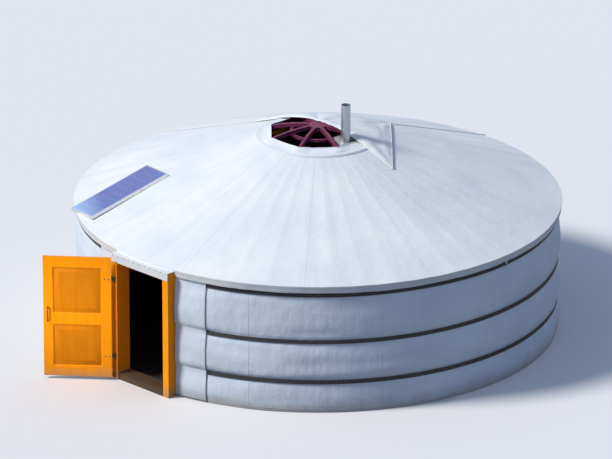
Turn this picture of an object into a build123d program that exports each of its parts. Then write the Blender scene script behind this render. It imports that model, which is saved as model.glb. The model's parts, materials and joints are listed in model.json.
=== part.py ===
from build123d import *
from math import asin, atan, atan2, cos, degrees, radians, sin, sqrt, tan
import os

# A felt tent with a lattice wall, radial roof poles and a spoked crown.
# The frame is +Z up, with the origin on the ground at the tent's axis. The doorway faces -Y.
# Angles round the tent start at the doorway's middle and grow toward +X. All sizes are millimetres.

# Overall form, measured on the outside of the white cover
WALL_RADIUS = 2857.0
EAVE_OVERHANG = 43.0
EAVE_HEIGHT = 1585.0
ROOF_SLOPE = 19.4
SKIRT_DROP = 85.0
SKIRT_LEAN = 12.0
SKIRT_CUT_GAP = 5.0

# Layers
COVER_THICKNESS = 6.0
FELT_THICKNESS = 28.0
SEAT_GAP = 0.3

# Lattice wall
SECTIONS = 5
CELLS_PER_SECTION = 9
LATTICE_ROWS = 4
SLAT_WIDTH = 28.0
SLAT_THICKNESS = 14.0
FOOT_HEIGHT = 70.0
HEAD_CLEARANCE = 5.0
LEAST_SLAT = 0.01

# Roof poles
POLE_SIZE = 42.0
POLE_TIP_SIZE = 30.0
DOOR_POLES = 3
MORTISE_DEPTH = 40.0
MORTISE_CLEARANCE = 0.3
TIP_CLEARANCE = 2.0

# Crown
CROWN_RADIUS = 720.0
RING_WIDTH = 66.0
RING_HEIGHT = 96.0
RING_PROUD = 10.0
DOME_RISE = 135.0
SPOKES = 8
SPOKE_WIDTH = 34.0
SPOKE_DEPTH = 44.0
HUB_RADIUS = 105.0
HUB_DEPTH = 60.0
INNER_RING_RADIUS = 320.0
INNER_RING_WIDTH = 34.0
INNER_RING_DEPTH = 30.0

# Crown posts
POST_SIZE = 62.0
POST_FOOT_SIZE = 110.0
POST_FOOT_HEIGHT = 90.0
BRACKET_LENGTH = 340.0
BRACKET_HEIGHT = 70.0
BRACKET_WIDTH = 58.0
BRACKET_BEND_OUT = 0.55
BRACKET_BEND_UP = 0.28

# Doorway
OPENING_WIDTH = 760.0
JAMB_WIDTH = 90.0
FRAME_DEPTH = 200.0
FRAME_PROUD = 103.0
SILL_HEIGHT = 75.0
HEAD_DEPTH = 98.0
HEAD_GAP = 6.0
HEAD_STEP_GAP = 2.0

# Door leaf
LEAF_OVERLAP = 20.0
LEAF_THICKNESS = 34.0
LEAF_SILL_LAP = 35.0
LEAF_HEAD_LAP = 75.0
LEAF_GAP = 6.0
LEAF_OPEN_ANGLE = 140.0
STILE_WIDTH = 105.0
RAIL_HEIGHT = 120.0
PANEL_RECESS = 10.0
LOCK_RAIL_HEIGHT = 700.0

# Hinges: an eye on a leaf strap drops over a pin on a jamb arm
PIN_RADIUS = 6.0
PIN_CLEARANCE = 0.08
EYE_RADIUS = 10.0
EYE_HEIGHT = 46.0
PIN_TO_LEAF = 12.0
ARM_THICKNESS = 12.0
ARM_PLATE_HEIGHT = 90.0
STRAP_LENGTH = 230.0
STRAP_HEIGHT = 32.0
STRAP_THICKNESS = 5.0
HINGE_UP_FROM_BOTTOM = 260.0
HINGE_DOWN_FROM_TOP = 265.0

# Door pulls
PULL_HEIGHT = 820.0
PULL_LENGTH = 170.0
PULL_ROD = 12.0
PULL_STANDOFF = 42.0
PULL_INSET = 52.0

# Belts and the cover strips beside the doorway
LOWER_BELT_HEIGHT = 380.0
MIDDLE_BELT_HEIGHT = 880.0
UPPER_BELT_DROP = 38.0
BELT_WIDTH = 46.0
BELT_THICKNESS = 8.0
STRIP_WIDTH = 400.0
STRIP_TOP_GAP = 5.0
STRIP_BOTTOM = 25.0

# Crown flap, folded back behind the hub, and its ropes
FLAP_FOLD_Y = 85.0
FLAP_HALF_WIDTH = 1150.0
FLAP_POINT_Y = 1240.0
FLAP_THICKNESS = 16.0
FLAP_MARGIN = 60.0
ROPE_SIZE = 11.0
ROPE_FROM_FLAP = 10.0

# Stove pipe and the tin plate that holds it in the crown
PIPE_RADIUS = 55.0
PIPE_WALL = 2.0
PIPE_FROM_RING = 194.0
PIPE_ABOVE_RING = 500.0
PIPE_BELOW_PLATE = 110.0
PIPE_FIT = 0.3
PLATE_THICKNESS = 3.0
PLATE_BEARING = 10.0
PLATE_SIDE_GAP = 40.0

# Solar panel lying on the roof cover
SOLAR_LENGTH = 1100.0
SOLAR_WIDTH = 530.0
SOLAR_DEPTH = 34.0
SOLAR_RIM = 24.0
SOLAR_SHELF = 18.0
SOLAR_SHEET = 6.0
SOLAR_FROM_EAVE = 530.0
SOLAR_CELLS_FROM_DOOR = 3
SOLAR_TURN = 21.0

# Worked out from the sizes above
SLOPE_TAN = tan(radians(ROOF_SLOPE))
SLOPE_COS = cos(radians(ROOF_SLOPE))
EAVE_RADIUS = WALL_RADIUS + EAVE_OVERHANG
WALL_INSIDE = WALL_RADIUS - COVER_THICKNESS
FELT_OUTSIDE = WALL_INSIDE - SEAT_GAP
FELT_INSIDE = FELT_OUTSIDE - FELT_THICKNESS
LATTICE_OUTSIDE = FELT_INSIDE - SEAT_GAP
LATTICE_MIDDLE = LATTICE_OUTSIDE - SLAT_THICKNESS
LATTICE_INSIDE = LATTICE_MIDDLE - SLAT_THICKNESS
FRAME_HALF = OPENING_WIDTH / 2 + JAMB_WIDTH
FRAME_FRONT = WALL_RADIUS + FRAME_PROUD
FRAME_BACK = FRAME_FRONT - FRAME_DEPTH
FELT_DEPTH = COVER_THICKNESS + SEAT_GAP
DOOR_ANGLE = degrees(asin((FRAME_HALF + SEAT_GAP) / LATTICE_INSIDE))
CELLS = SECTIONS * CELLS_PER_SECTION
CELL_ANGLE = (360 - 2 * DOOR_ANGLE) / CELLS
SECTION_ANGLE = CELL_ANGLE * CELLS_PER_SECTION
HALF_CELL = radians(CELL_ANGLE) / 2
FLAT_FALL = POLE_SIZE / 2 * tan(HALF_CELL)
POLE_DEPTH = FELT_DEPTH + FELT_THICKNESS + SEAT_GAP + FLAT_FALL * SLOPE_TAN * SLOPE_COS
RING_INSIDE = CROWN_RADIUS - RING_WIDTH
ROOF_INSIDE = (CROWN_RADIUS + SEAT_GAP) / cos(HALF_CELL)
PIPE_FROM_AXIS = RING_INSIDE - PIPE_FROM_RING
SKIRT_BOTTOM = EAVE_HEIGHT - SKIRT_DROP
PIN_X = -(OPENING_WIDTH / 2 + LEAF_OVERLAP + PIN_TO_LEAF)
PIN_Y = -(FRAME_FRONT + LEAF_GAP + LEAF_THICKNESS)


def roof_height(radius, depth=0.0):
    """Height of the roof layer that lies this deep under the cover's top face."""
    return EAVE_HEIGHT + (EAVE_RADIUS - radius) * SLOPE_TAN - depth / SLOPE_COS


RING_TOP = roof_height(CROWN_RADIUS) + RING_PROUD
RING_BOTTOM = RING_TOP - RING_HEIGHT
DOME_RADIUS = (CROWN_RADIUS**2 + DOME_RISE**2) / (2 * DOME_RISE)
DOME_CENTRE = RING_TOP + DOME_RISE - DOME_RADIUS
POLE_OUTER_END = LATTICE_OUTSIDE - FLAT_FALL
POLE_REST = roof_height(POLE_OUTER_END, POLE_DEPTH + POLE_SIZE)
HEAD_TOP = roof_height(WALL_RADIUS, FELT_DEPTH + FELT_THICKNESS) - HEAD_GAP
HEAD_UNDERSIDE = HEAD_TOP - HEAD_DEPTH
LEAF_TOP = HEAD_UNDERSIDE + LEAF_HEAD_LAP
LEAF_BOTTOM = SILL_HEIGHT - LEAF_SILL_LAP
HINGE_HEIGHTS = (LEAF_BOTTOM + HINGE_UP_FROM_BOTTOM, LEAF_TOP - HINGE_DOWN_FROM_TOP)
BELT_HEIGHTS = {
    "lower": LOWER_BELT_HEIGHT,
    "middle": MIDDLE_BELT_HEIGHT,
    "upper": SKIRT_BOTTOM - UPPER_BELT_DROP,
}
STRIP_TOP = SKIRT_BOTTOM - STRIP_TOP_GAP


def dome_height(radius, depth=0.0):
    """Height of the crown's domed top at this radius, or of a face this deep under it."""
    return DOME_CENTRE + sqrt((DOME_RADIUS - depth) ** 2 - radius**2)


def place(radius, angle, height=0.0):
    """Point at a radius from the axis and an angle from the doorway's middle."""
    turn = radians(angle)
    return Vector(radius * sin(turn), -radius * cos(turn), height)


def solid_of(faces):
    """Closed solid from the corner points of its flat faces."""
    return Solid(Shell([Face(Wire.make_polygon(points, close=True)) for points in faces]))


def faceted(corners):
    """Closed solid through a row of four-cornered sections, each side cut into two triangles."""
    faces = [corners[0], corners[-1]]
    for near, far in zip(corners, corners[1:]):
        for i in range(4):
            j = (i + 1) % 4
            faces.append((near[i], near[j], far[j]))
            faces.append((near[i], far[j], far[i]))
    return solid_of(faces)


def turned(shape, angle):
    """The shape turned round the tent's axis, growing from the doorway toward +X."""
    return shape.rotate(Axis.Z, angle)


def cell_corner(radius, position):
    """Point of the lattice's many-sided ring, by its place counted in cells from a section's first edge."""
    cell = min(int(position), CELLS_PER_SECTION - 1)
    share = position - cell
    spare = degrees(SEAT_GAP / LATTICE_OUTSIDE) / 2
    pitch = (SECTION_ANGLE - 2 * spare) / CELLS_PER_SECTION
    start = place(radius, spare + cell * pitch)
    return start + (place(radius, spare + (cell + 1) * pitch) - start) * share


def slat(inner, outer, first, last, height_at):
    """One lattice slat, bent at each cell edge that it passes."""
    cell_width = 2 * LATTICE_MIDDLE * sin(HALF_CELL)
    rise = abs(height_at(1) - height_at(0))
    half = SLAT_WIDTH / 2 / cos(atan(rise / cell_width))
    bends = [float(n) for n in range(int(first) + 1, CELLS_PER_SECTION + 1) if last - n > LEAST_SLAT]
    sections = []
    for stop in [first, *bends, last]:
        near, far = cell_corner(inner, stop), cell_corner(outer, stop)
        low, high = Vector(0, 0, height_at(stop) - half), Vector(0, 0, height_at(stop) + half)
        sections.append((near + low, far + low, far + high, near + high))
    return faceted(sections)


def lattice_section():
    """One curved wall section: two layers of crossing slats, fused where they meet, on flat feet."""
    cell_width = 2 * LATTICE_MIDDLE * sin(HALF_CELL)
    lean = atan((POLE_REST - FOOT_HEIGHT) / LATTICE_ROWS / cell_width)
    notch = POLE_SIZE / 2 * tan(lean) + SLAT_WIDTH / 2 / cos(lean)
    top_crossing = POLE_REST - SEAT_GAP - notch
    row = (top_crossing - FOOT_HEIGHT) / LATTICE_ROWS
    above = (roof_height(LATTICE_OUTSIDE, POLE_DEPTH) - HEAD_CLEARANCE) - top_crossing
    reach_up = (above + SLAT_WIDTH) / row
    reach_down = (FOOT_HEIGHT + SLAT_WIDTH) / row
    slats = []
    for start in range(-LATTICE_ROWS, CELLS_PER_SECTION + 1):
        low, high = start - reach_down, start + LATTICE_ROWS + reach_up
        first, last = max(low, 0.0), min(high, float(CELLS_PER_SECTION))
        if last - first > LEAST_SLAT:
            slats.append(slat(LATTICE_INSIDE, LATTICE_MIDDLE, first, last,
                              lambda p, s=start: FOOT_HEIGHT + (p - s) * row))
        low, high = start - reach_up, start + LATTICE_ROWS + reach_down
        first, last = max(low, 0.0), min(high, float(CELLS_PER_SECTION))
        if last - first > LEAST_SLAT:
            slats.append(slat(LATTICE_MIDDLE, LATTICE_OUTSIDE, first, last,
                              lambda p, s=start: top_crossing - (p - s) * row))
    woven = slats[0].fuse(*slats[1:])
    height = top_crossing + above
    trim = Pos(0, 0, height / 2) * Box(3 * WALL_RADIUS, 3 * WALL_RADIUS, height)
    return woven & trim


def lattice_walls():
    """The five lattice sections, from the doorway's right side round to its left."""
    section = lattice_section()
    return {
        f"lattice_wall_{n + 1}": turned(section, DOOR_ANGLE + n * SECTION_ANGLE) for n in range(SECTIONS)
    }


def pole_angles():
    """Angles of all roof poles: one at each lattice head, and those that the door head carries."""
    heads = [DOOR_ANGLE + n * CELL_ANGLE for n in range(CELLS + 1)]
    step = 2 * DOOR_ANGLE / (DOOR_POLES + 1)
    return heads, [-DOOR_ANGLE + (n + 1) * step for n in range(DOOR_POLES)]


def pole(angle, outer_end=POLE_OUTER_END, spare=0.0, tip=CROWN_RADIUS - MORTISE_DEPTH + TIP_CLEARANCE):
    """One tapered roof pole, or with spare the slightly larger hole that it fits."""
    sections = []
    run = POLE_OUTER_END - CROWN_RADIUS
    for radius in (outer_end, tip):
        size = POLE_TIP_SIZE + (POLE_SIZE - POLE_TIP_SIZE) * max(radius - CROWN_RADIUS, 0) / run
        half = size / 2 + spare
        top = roof_height(radius, POLE_DEPTH - spare)
        bottom = roof_height(radius, POLE_DEPTH + size + spare)
        left = Vector(cos(radians(angle)), sin(radians(angle)), 0) * half
        middle = place(radius, angle)
        low, high = Vector(0, 0, bottom), Vector(0, 0, top)
        sections.append((middle - left + low, middle + left + low, middle + left + high, middle - left + high))
    return faceted(sections)


def roof_poles():
    """Roof poles in one group for each wall section, and one over the doorway."""
    heads, over_door = pole_angles()
    groups = {}
    for n in range(SECTIONS):
        last = (n + 1) * CELLS_PER_SECTION + (1 if n == SECTIONS - 1 else 0)
        angles = heads[n * CELLS_PER_SECTION : last]
        groups[f"roof_poles_{n + 1}"] = Compound([pole(angle) for angle in angles])
    groups["roof_poles_over_door"] = Compound([pole(angle) for angle in over_door])
    return groups


def all_pole_angles():
    """Every roof pole's angle in turn, from the one left of the doorway's middle."""
    heads, over_door = pole_angles()
    return over_door + heads


def flat_share(angle):
    """Distance of a flat side from the axis at this angle, as a share of its corners' radius."""
    cell = (angle - DOOR_ANGLE) / CELL_ANGLE
    return cos(HALF_CELL) / cos((cell - int(cell) - 1 / 2) * 2 * HALF_CELL)


def flat_sided(section):
    """Ring of flat sides from pole to pole, from radius and height pairs of its section."""
    angles = all_pole_angles()
    faces = []
    for near, far in zip(angles, angles[1:] + angles[:1]):
        for (r, h), (next_r, next_h) in zip(section, section[1:] + section[:1]):
            first, second = place(r, near, h), place(r, far, h)
            faces.append((first, second, place(next_r, far, next_h), place(next_r, near, next_h)))
    return solid_of(faces)


def wall_felts():
    """Wall felt behind each lattice section, flat from slat head to slat head."""
    felts = {}
    top = roof_height(FELT_OUTSIDE, POLE_DEPTH)
    spare = degrees(SEAT_GAP / FELT_INSIDE) / 2
    pitch = (SECTION_ANGLE - 2 * spare) / CELLS_PER_SECTION
    for n in range(SECTIONS):
        first = DOOR_ANGLE + n * SECTION_ANGLE + spare
        angles = [first + i * pitch for i in range(CELLS_PER_SECTION + 1)]
        outline = [place(FELT_OUTSIDE, angle) for angle in angles]
        outline += [place(FELT_INSIDE, angle) for angle in reversed(angles)]
        felts[f"wall_felt_{n + 1}"] = extrude(Face(Wire.make_polygon(outline, close=True)), top, (0, 0, 1))
    return felts


def roof_felts():
    """Front and back roof felts, flat from pole to pole, with a narrow joint between them."""
    over, under = FELT_DEPTH, FELT_DEPTH + FELT_THICKNESS
    layer = flat_sided([
        (ROOF_INSIDE, roof_height(ROOF_INSIDE, over)),
        (WALL_RADIUS, roof_height(WALL_RADIUS, over)),
        (WALL_RADIUS, roof_height(WALL_RADIUS, under)),
        (ROOF_INSIDE, roof_height(ROOF_INSIDE, under)),
    ])
    side = 3 * EAVE_RADIUS
    halves = {}
    for name, sign in (("front", -1), ("back", 1)):
        half = Pos(0, sign * (side / 2 + SEAT_GAP / 2), EAVE_HEIGHT) * Box(side, side, side)
        halves[f"roof_felt_{name}"] = layer & half
    return halves


def lathe(points):
    """Solid of revolution round the tent's axis from radius and height pairs."""
    return revolve(Plane.XZ * make_face(Polyline(*points, close=True)), Axis.Z)


def doorway_cut(half_width, bottom, top):
    """Box that clears the doorway out of a layer that reaches from bottom to top."""
    depth = EAVE_RADIUS
    below = 2 * bottom - top
    return Pos(0, -depth / 2 - WALL_RADIUS / 2, (below + top) / 2) * Box(2 * half_width, depth, top - below)


def wall_cover():
    """White wall cover in one piece from jamb to jamb, with a flat hem on the ground."""
    top = roof_height(WALL_RADIUS, FELT_DEPTH + FELT_THICKNESS) - SEAT_GAP / SLOPE_COS
    ring = flat_sided([(WALL_INSIDE, 0), (WALL_RADIUS, 0), (WALL_RADIUS, top), (WALL_INSIDE, top)])
    return ring - doorway_cut(FRAME_HALF + SEAT_GAP, 0, top)


def roof_cover():
    """White roof cover with a short skirt that hangs outside the wall, cut away over the doorway."""
    inner = ROOF_INSIDE
    hem = EAVE_RADIUS - SKIRT_LEAN
    under_eave = EAVE_RADIUS - COVER_THICKNESS
    sheet = flat_sided([
        (inner, roof_height(inner)),
        (EAVE_RADIUS, EAVE_HEIGHT),
        (hem, SKIRT_BOTTOM),
        (hem - COVER_THICKNESS, SKIRT_BOTTOM),
        (under_eave, roof_height(under_eave, COVER_THICKNESS)),
        (inner, roof_height(inner, COVER_THICKNESS)),
    ])
    return sheet - doorway_cut(FRAME_HALF + SKIRT_CUT_GAP, SKIRT_BOTTOM, HEAD_TOP + SEAT_GAP)


def belt(height):
    """Woven belt drawn tight round the wall cover, from jamb to jamb."""
    inner = WALL_RADIUS + SEAT_GAP
    outer = inner + BELT_THICKNESS
    low, high = height - BELT_WIDTH / 2, height + BELT_WIDTH / 2
    ring = flat_sided([(inner, low), (outer, low), (outer, high), (inner, high)])
    return ring - doorway_cut(FRAME_HALF + SEAT_GAP, low, high)


def cover_strip(side):
    """End strip of the cover that laps over the belt ends beside the doorway; side is 1 for +X."""
    inner = WALL_RADIUS + BELT_THICKNESS + 2 * SEAT_GAP
    ring = flat_sided([
        (inner, STRIP_BOTTOM), (inner + COVER_THICKNESS, STRIP_BOTTOM),
        (inner + COVER_THICKNESS, STRIP_TOP), (inner, STRIP_TOP),
    ])
    near = FRAME_HALF + SEAT_GAP
    height = STRIP_TOP - STRIP_BOTTOM
    window = Pos(side * (near + STRIP_WIDTH / 2), -inner, STRIP_BOTTOM + height / 2)
    return ring & window * Box(STRIP_WIDTH, inner, 2 * height)


def crown_ring():
    """Outer hoop of the crown with a mortise for the tip of every pole."""
    hoop = lathe([
        (RING_INSIDE, RING_BOTTOM), (CROWN_RADIUS, RING_BOTTOM),
        (CROWN_RADIUS, RING_TOP), (RING_INSIDE, RING_TOP),
    ])
    mouth, depth = CROWN_RADIUS + MORTISE_CLEARANCE, CROWN_RADIUS - MORTISE_DEPTH
    return hoop - [pole(angle, mouth, MORTISE_CLEARANCE, depth) for angle in all_pole_angles()]


def spoke(angle):
    """One arched spoke from the hub to the hoop's inner side."""
    end, start = RING_INSIDE - SEAT_GAP, HUB_RADIUS / 2
    middle = (end + start) / 2
    top = ThreePointArc(
        (start, dome_height(start)), (middle, dome_height(middle)), (end, dome_height(end))
    )
    bottom = ThreePointArc(
        (end, dome_height(end, SPOKE_DEPTH)),
        (middle, dome_height(middle, SPOKE_DEPTH)),
        (start, dome_height(start, SPOKE_DEPTH)),
    )
    outline = make_face([top, Line(top @ 1, bottom @ 0), bottom, Line(bottom @ 1, top @ 0)])
    arch = extrude(Plane.XZ * outline, SPOKE_WIDTH / 2, both=True)
    return turned(arch, angle - 90)


def crown_spokes():
    """Hub and arched spokes, fused as one carved piece."""
    top = dome_height(HUB_RADIUS)
    hub = Pos(0, 0, top - HUB_DEPTH / 2) * Cylinder(HUB_RADIUS, HUB_DEPTH)
    arms = [spoke((n + 0.5) * 360 / SPOKES) for n in range(SPOKES)]
    return hub.fuse(*arms)


def inner_ring_top():
    """Top of the inner hoop, where its outer edge meets the undersides of the spokes."""
    return dome_height(INNER_RING_RADIUS + INNER_RING_WIDTH / 2, SPOKE_DEPTH) - SEAT_GAP


def crown_inner_ring():
    """Many-sided inner hoop under the spokes, straight from bay to bay."""
    top = inner_ring_top()
    outer = INNER_RING_RADIUS + INNER_RING_WIDTH / 2
    plate = RegularPolygon(outer, 3 * SPOKES) - RegularPolygon(outer - INNER_RING_WIDTH, 3 * SPOKES)
    return Pos(0, 0, top - INNER_RING_DEPTH) * extrude(plate, INNER_RING_DEPTH)


def crown_post(side):
    """Post under the crown hoop, with a foot block and a curved bracket head."""
    x = side * (CROWN_RADIUS - RING_WIDTH / 2)
    shaft_top = RING_BOTTOM - BRACKET_HEIGHT
    foot = Pos(x, 0, POST_FOOT_HEIGHT / 2) * Box(POST_FOOT_SIZE, POST_FOOT_SIZE, POST_FOOT_HEIGHT)
    shaft = Pos(x, 0, shaft_top / 2) * Box(POST_SIZE, POST_SIZE, shaft_top)
    half, neck = BRACKET_LENGTH / 2, POST_SIZE / 2
    low, high = shaft_top, RING_BOTTOM
    lip = high - BRACKET_HEIGHT / 3
    bend_x, bend_z = half * BRACKET_BEND_OUT, low + BRACKET_HEIGHT * BRACKET_BEND_UP
    right = ThreePointArc((neck, low), (bend_x, bend_z), (half, lip))
    left = ThreePointArc((-half, lip), (-bend_x, bend_z), (-neck, low))
    outline = make_face([
        Line((-neck, low), (neck, low)), right, Line((half, lip), (half, high)),
        Line((half, high), (-half, high)), Line((-half, high), (-half, lip)), left,
    ])
    bracket = Pos(x, 0, 0) * extrude(Plane.YZ * outline, BRACKET_WIDTH / 2, both=True)
    return foot + shaft + bracket


def door_jamb(side):
    """Upright of the door frame, from the ground to the head."""
    x = side * (OPENING_WIDTH + JAMB_WIDTH) / 2
    y = -(FRAME_FRONT + FRAME_BACK) / 2
    return Pos(x, y, HEAD_UNDERSIDE / 2) * Box(JAMB_WIDTH, FRAME_DEPTH, HEAD_UNDERSIDE)


def door_head():
    """Head of the door frame: a low back step carries the poles, a high front meets the eave."""
    step_top = POLE_REST - SEAT_GAP
    front, back = -FRAME_FRONT, -FRAME_BACK
    step = -LATTICE_OUTSIDE - HEAD_STEP_GAP
    outline = make_face(Polyline(
        (front, HEAD_UNDERSIDE), (back, HEAD_UNDERSIDE), (back, step_top),
        (step, step_top), (step, HEAD_TOP), (front, HEAD_TOP), close=True,
    ))
    return extrude(Plane.YZ * outline, FRAME_HALF, both=True)


def door_sill():
    """Threshold between the jambs."""
    y = -(FRAME_FRONT + FRAME_BACK) / 2
    return Pos(0, y, SILL_HEIGHT / 2) * Box(OPENING_WIDTH, FRAME_DEPTH, SILL_HEIGHT)


def door_leaf():
    """Door leaf, closed, with sunk panels above and below the lock rail on both faces."""
    width, height = OPENING_WIDTH + 2 * LEAF_OVERLAP, LEAF_TOP - LEAF_BOTTOM
    y = -(FRAME_FRONT + LEAF_GAP + LEAF_THICKNESS / 2)
    leaf = Pos(0, y, LEAF_BOTTOM + height / 2) * Box(width, LEAF_THICKNESS, height)
    panel_width = width - 2 * STILE_WIDTH
    bays = (
        (LEAF_BOTTOM + RAIL_HEIGHT, LOCK_RAIL_HEIGHT),
        (LOCK_RAIL_HEIGHT + RAIL_HEIGHT, LEAF_TOP - RAIL_HEIGHT),
    )
    for low, high in bays:
        for face in (-1, 1):
            depth = y + face * (LEAF_THICKNESS / 2 - PANEL_RECESS / 2)
            leaf -= Pos(0, depth, (low + high) / 2) * Box(panel_width, PANEL_RECESS, high - low)
    return leaf


def hinge_straps():
    """Leaf straps with the eyes that turn on the pins, closed."""
    bore = PIN_RADIUS + PIN_CLEARANCE
    straps = []
    for z in HINGE_HEIGHTS:
        length = PIN_TO_LEAF + STRAP_LENGTH
        bar = Box(length, STRAP_THICKNESS, STRAP_HEIGHT)
        bar = Pos(PIN_X + length / 2, PIN_Y - STRAP_THICKNESS / 2, z) * bar
        eye = Pos(PIN_X, PIN_Y, z) * Cylinder(EYE_RADIUS, STRAP_HEIGHT)
        hole = Pos(PIN_X, PIN_Y, z) * Cylinder(bore, 2 * STRAP_HEIGHT)
        straps.append((bar + eye - hole).solid())
    return Compound(straps)


def hinge_pins():
    """Jamb arms with the upright pins that carry the leaf."""
    arms = []
    for z in HINGE_HEIGHTS:
        shoulder = z - STRAP_HEIGHT / 2 - SEAT_GAP
        middle = shoulder - ARM_THICKNESS / 2
        reach = -FRAME_FRONT - PIN_Y
        arm = Pos(PIN_X, PIN_Y + reach / 2, middle) * Box(ARM_THICKNESS, reach, ARM_THICKNESS)
        knob = Pos(PIN_X, PIN_Y, middle) * Cylinder(EYE_RADIUS, ARM_THICKNESS)
        pin = Pos(PIN_X, PIN_Y, shoulder + EYE_HEIGHT / 2) * Cylinder(PIN_RADIUS, EYE_HEIGHT)
        plate = Box(2 * ARM_THICKNESS, STRAP_THICKNESS, ARM_PLATE_HEIGHT)
        plate = Pos(PIN_X, -FRAME_FRONT - STRAP_THICKNESS / 2, middle) * plate
        arms.append((arm + knob + pin + plate).solid())
    return Compound(arms)


def door_pulls():
    """A bent pull on each face of the leaf, near its free edge, closed."""
    x = OPENING_WIDTH / 2 + LEAF_OVERLAP - PULL_INSET
    outer_face = PIN_Y
    inner_face = PIN_Y + LEAF_THICKNESS
    pulls = []
    for face, outward in ((outer_face, -1), (inner_face, 1)):
        reach = PULL_STANDOFF
        for_grip = Pos(x, face + outward * (reach - PULL_ROD / 2), PULL_HEIGHT)
        pull = for_grip * Box(PULL_ROD, PULL_ROD, PULL_LENGTH)
        for end in (-1, 1):
            z = PULL_HEIGHT + end * (PULL_LENGTH - PULL_ROD) / 2
            pull += Pos(x, face + outward * reach / 2, z) * Box(PULL_ROD, reach, PULL_ROD)
        pulls.append(pull.solid())
    return Compound(pulls)


def opened(shape):
    """A closed door piece, swung open round the hinge pins."""
    return shape.rotate(Axis((PIN_X, PIN_Y, 0), (0, 0, 1)), -LEAF_OPEN_ANGLE)


def crown_flap():
    """Square crown cloth folded back into a triangle over the rear half of the crown."""
    under, over = -2 * SEAT_GAP, -2 * SEAT_GAP - FLAP_THICKNESS
    edge = CROWN_RADIUS
    far = max(FLAP_HALF_WIDTH, FLAP_POINT_Y) + FLAP_MARGIN
    lower = ThreePointArc(*[(r, dome_height(r, under)) for r in (0, edge / 2, edge)])
    upper = ThreePointArc(*[(r, dome_height(r, over)) for r in (edge, edge / 2, 0)])
    low_end, high_end = (far, roof_height(far, under)), (far, roof_height(far, over))
    outline = make_face([
        lower, Line(lower @ 1, low_end), Line(low_end, high_end), Line(high_end, upper @ 0), upper,
        Line(upper @ 1, lower @ 0),
    ])
    dome = revolve(Plane.XZ * outline, Axis.Z)
    corners = [(-FLAP_HALF_WIDTH, FLAP_FOLD_Y), (FLAP_HALF_WIDTH, FLAP_FOLD_Y), (0, FLAP_POINT_Y)]
    footprint = make_face(Polyline(*corners, close=True))
    return dome & extrude(footprint, 2 * EAVE_HEIGHT)


def flap_ropes():
    """Taut ropes from the flap's corners down the roof to the upper belt."""
    ropes = []
    side = degrees(atan2(FLAP_HALF_WIDTH, -FLAP_FOLD_Y))
    side_start = sqrt(FLAP_HALF_WIDTH**2 + FLAP_FOLD_Y**2) + ROPE_FROM_FLAP
    lift, thick = SEAT_GAP / SLOPE_COS, ROPE_SIZE / SLOPE_COS
    belt_top = BELT_HEIGHTS["upper"] + BELT_WIDTH / 2
    corners = ((side, side_start), (360 - side, side_start), (180, FLAP_POINT_Y + ROPE_FROM_FLAP))
    for angle, start in corners:
        share = flat_share(angle)
        outer = EAVE_RADIUS * share + 2 * SEAT_GAP
        upper, lower = roof_height(start / share) + lift, roof_height(outer / share) + lift
        outline = make_face(Polyline(
            (start, upper),
            (outer, lower),
            (outer - SKIRT_LEAN, belt_top),
            (outer - SKIRT_LEAN + ROPE_SIZE, belt_top),
            (outer + ROPE_SIZE, lower + thick),
            (start, upper + thick),
            close=True,
        ))
        ropes.append(turned(extrude(Plane.XZ * outline, ROPE_SIZE / 2, both=True), angle - 90).solid())
    return Compound(ropes)


def pipe_centre():
    """Middle of the stove pipe, in the crown bay on the +X side."""
    return PIPE_FROM_AXIS, 0.0


def pipe_plate():
    """Tin plate between two spokes, from the hoop's top to the inner hoop, with a hole for the pipe."""
    inner = INNER_RING_RADIUS
    seat = INNER_RING_RADIUS + INNER_RING_WIDTH / 2
    outer = RING_INSIDE + PLATE_BEARING
    fall = (inner_ring_top() - RING_TOP) / (outer - seat)
    high = inner_ring_top() + SEAT_GAP + fall * (seat - inner)
    low = high - fall * (outer - inner)
    half_bay = radians(180 / SPOKES)
    spare = SPOKE_WIDTH / 2 / cos(half_bay) + PLATE_SIDE_GAP
    half_inner, half_outer = inner * tan(half_bay) - spare, outer * tan(half_bay) - spare
    sections = []
    for x, half, z in ((inner, half_inner, high), (outer, half_outer, low)):
        top = z + PLATE_THICKNESS
        sections.append((Vector(x, -half, z), Vector(x, half, z), Vector(x, half, top), Vector(x, -half, top)))
    x, y = pipe_centre()
    hole = Pos(x, y, RING_TOP) * Cylinder(PIPE_RADIUS + PIPE_FIT, 2 * EAVE_HEIGHT)
    return faceted(sections) - hole


def stove_pipe():
    """Plain sheet pipe, open at both ends."""
    x, y = pipe_centre()
    top = RING_TOP + PIPE_ABOVE_RING
    bottom = RING_TOP - PIPE_BELOW_PLATE
    tube = Cylinder(PIPE_RADIUS, top - bottom) - Cylinder(PIPE_RADIUS - PIPE_WALL, 2 * top)
    return Pos(x, y, (top + bottom) / 2) * tube


def on_roof(shape):
    """The shape laid on one flat side of the roof cover, at the solar panel's place."""
    share = cos(HALF_CELL)
    tilt = atan(SLOPE_TAN / share)
    radius = EAVE_RADIUS - SOLAR_FROM_EAVE
    height = roof_height(radius / share) + SEAT_GAP / cos(tilt)
    angle = DOOR_ANGLE + (SOLAR_CELLS_FROM_DOOR + 1 / 2) * CELL_ANGLE
    tipped = Rot(0, degrees(tilt), 0) * (Rot(0, 0, SOLAR_TURN) * shape)
    return turned(Pos(radius, 0, height) * tipped, -angle - 90)


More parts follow.
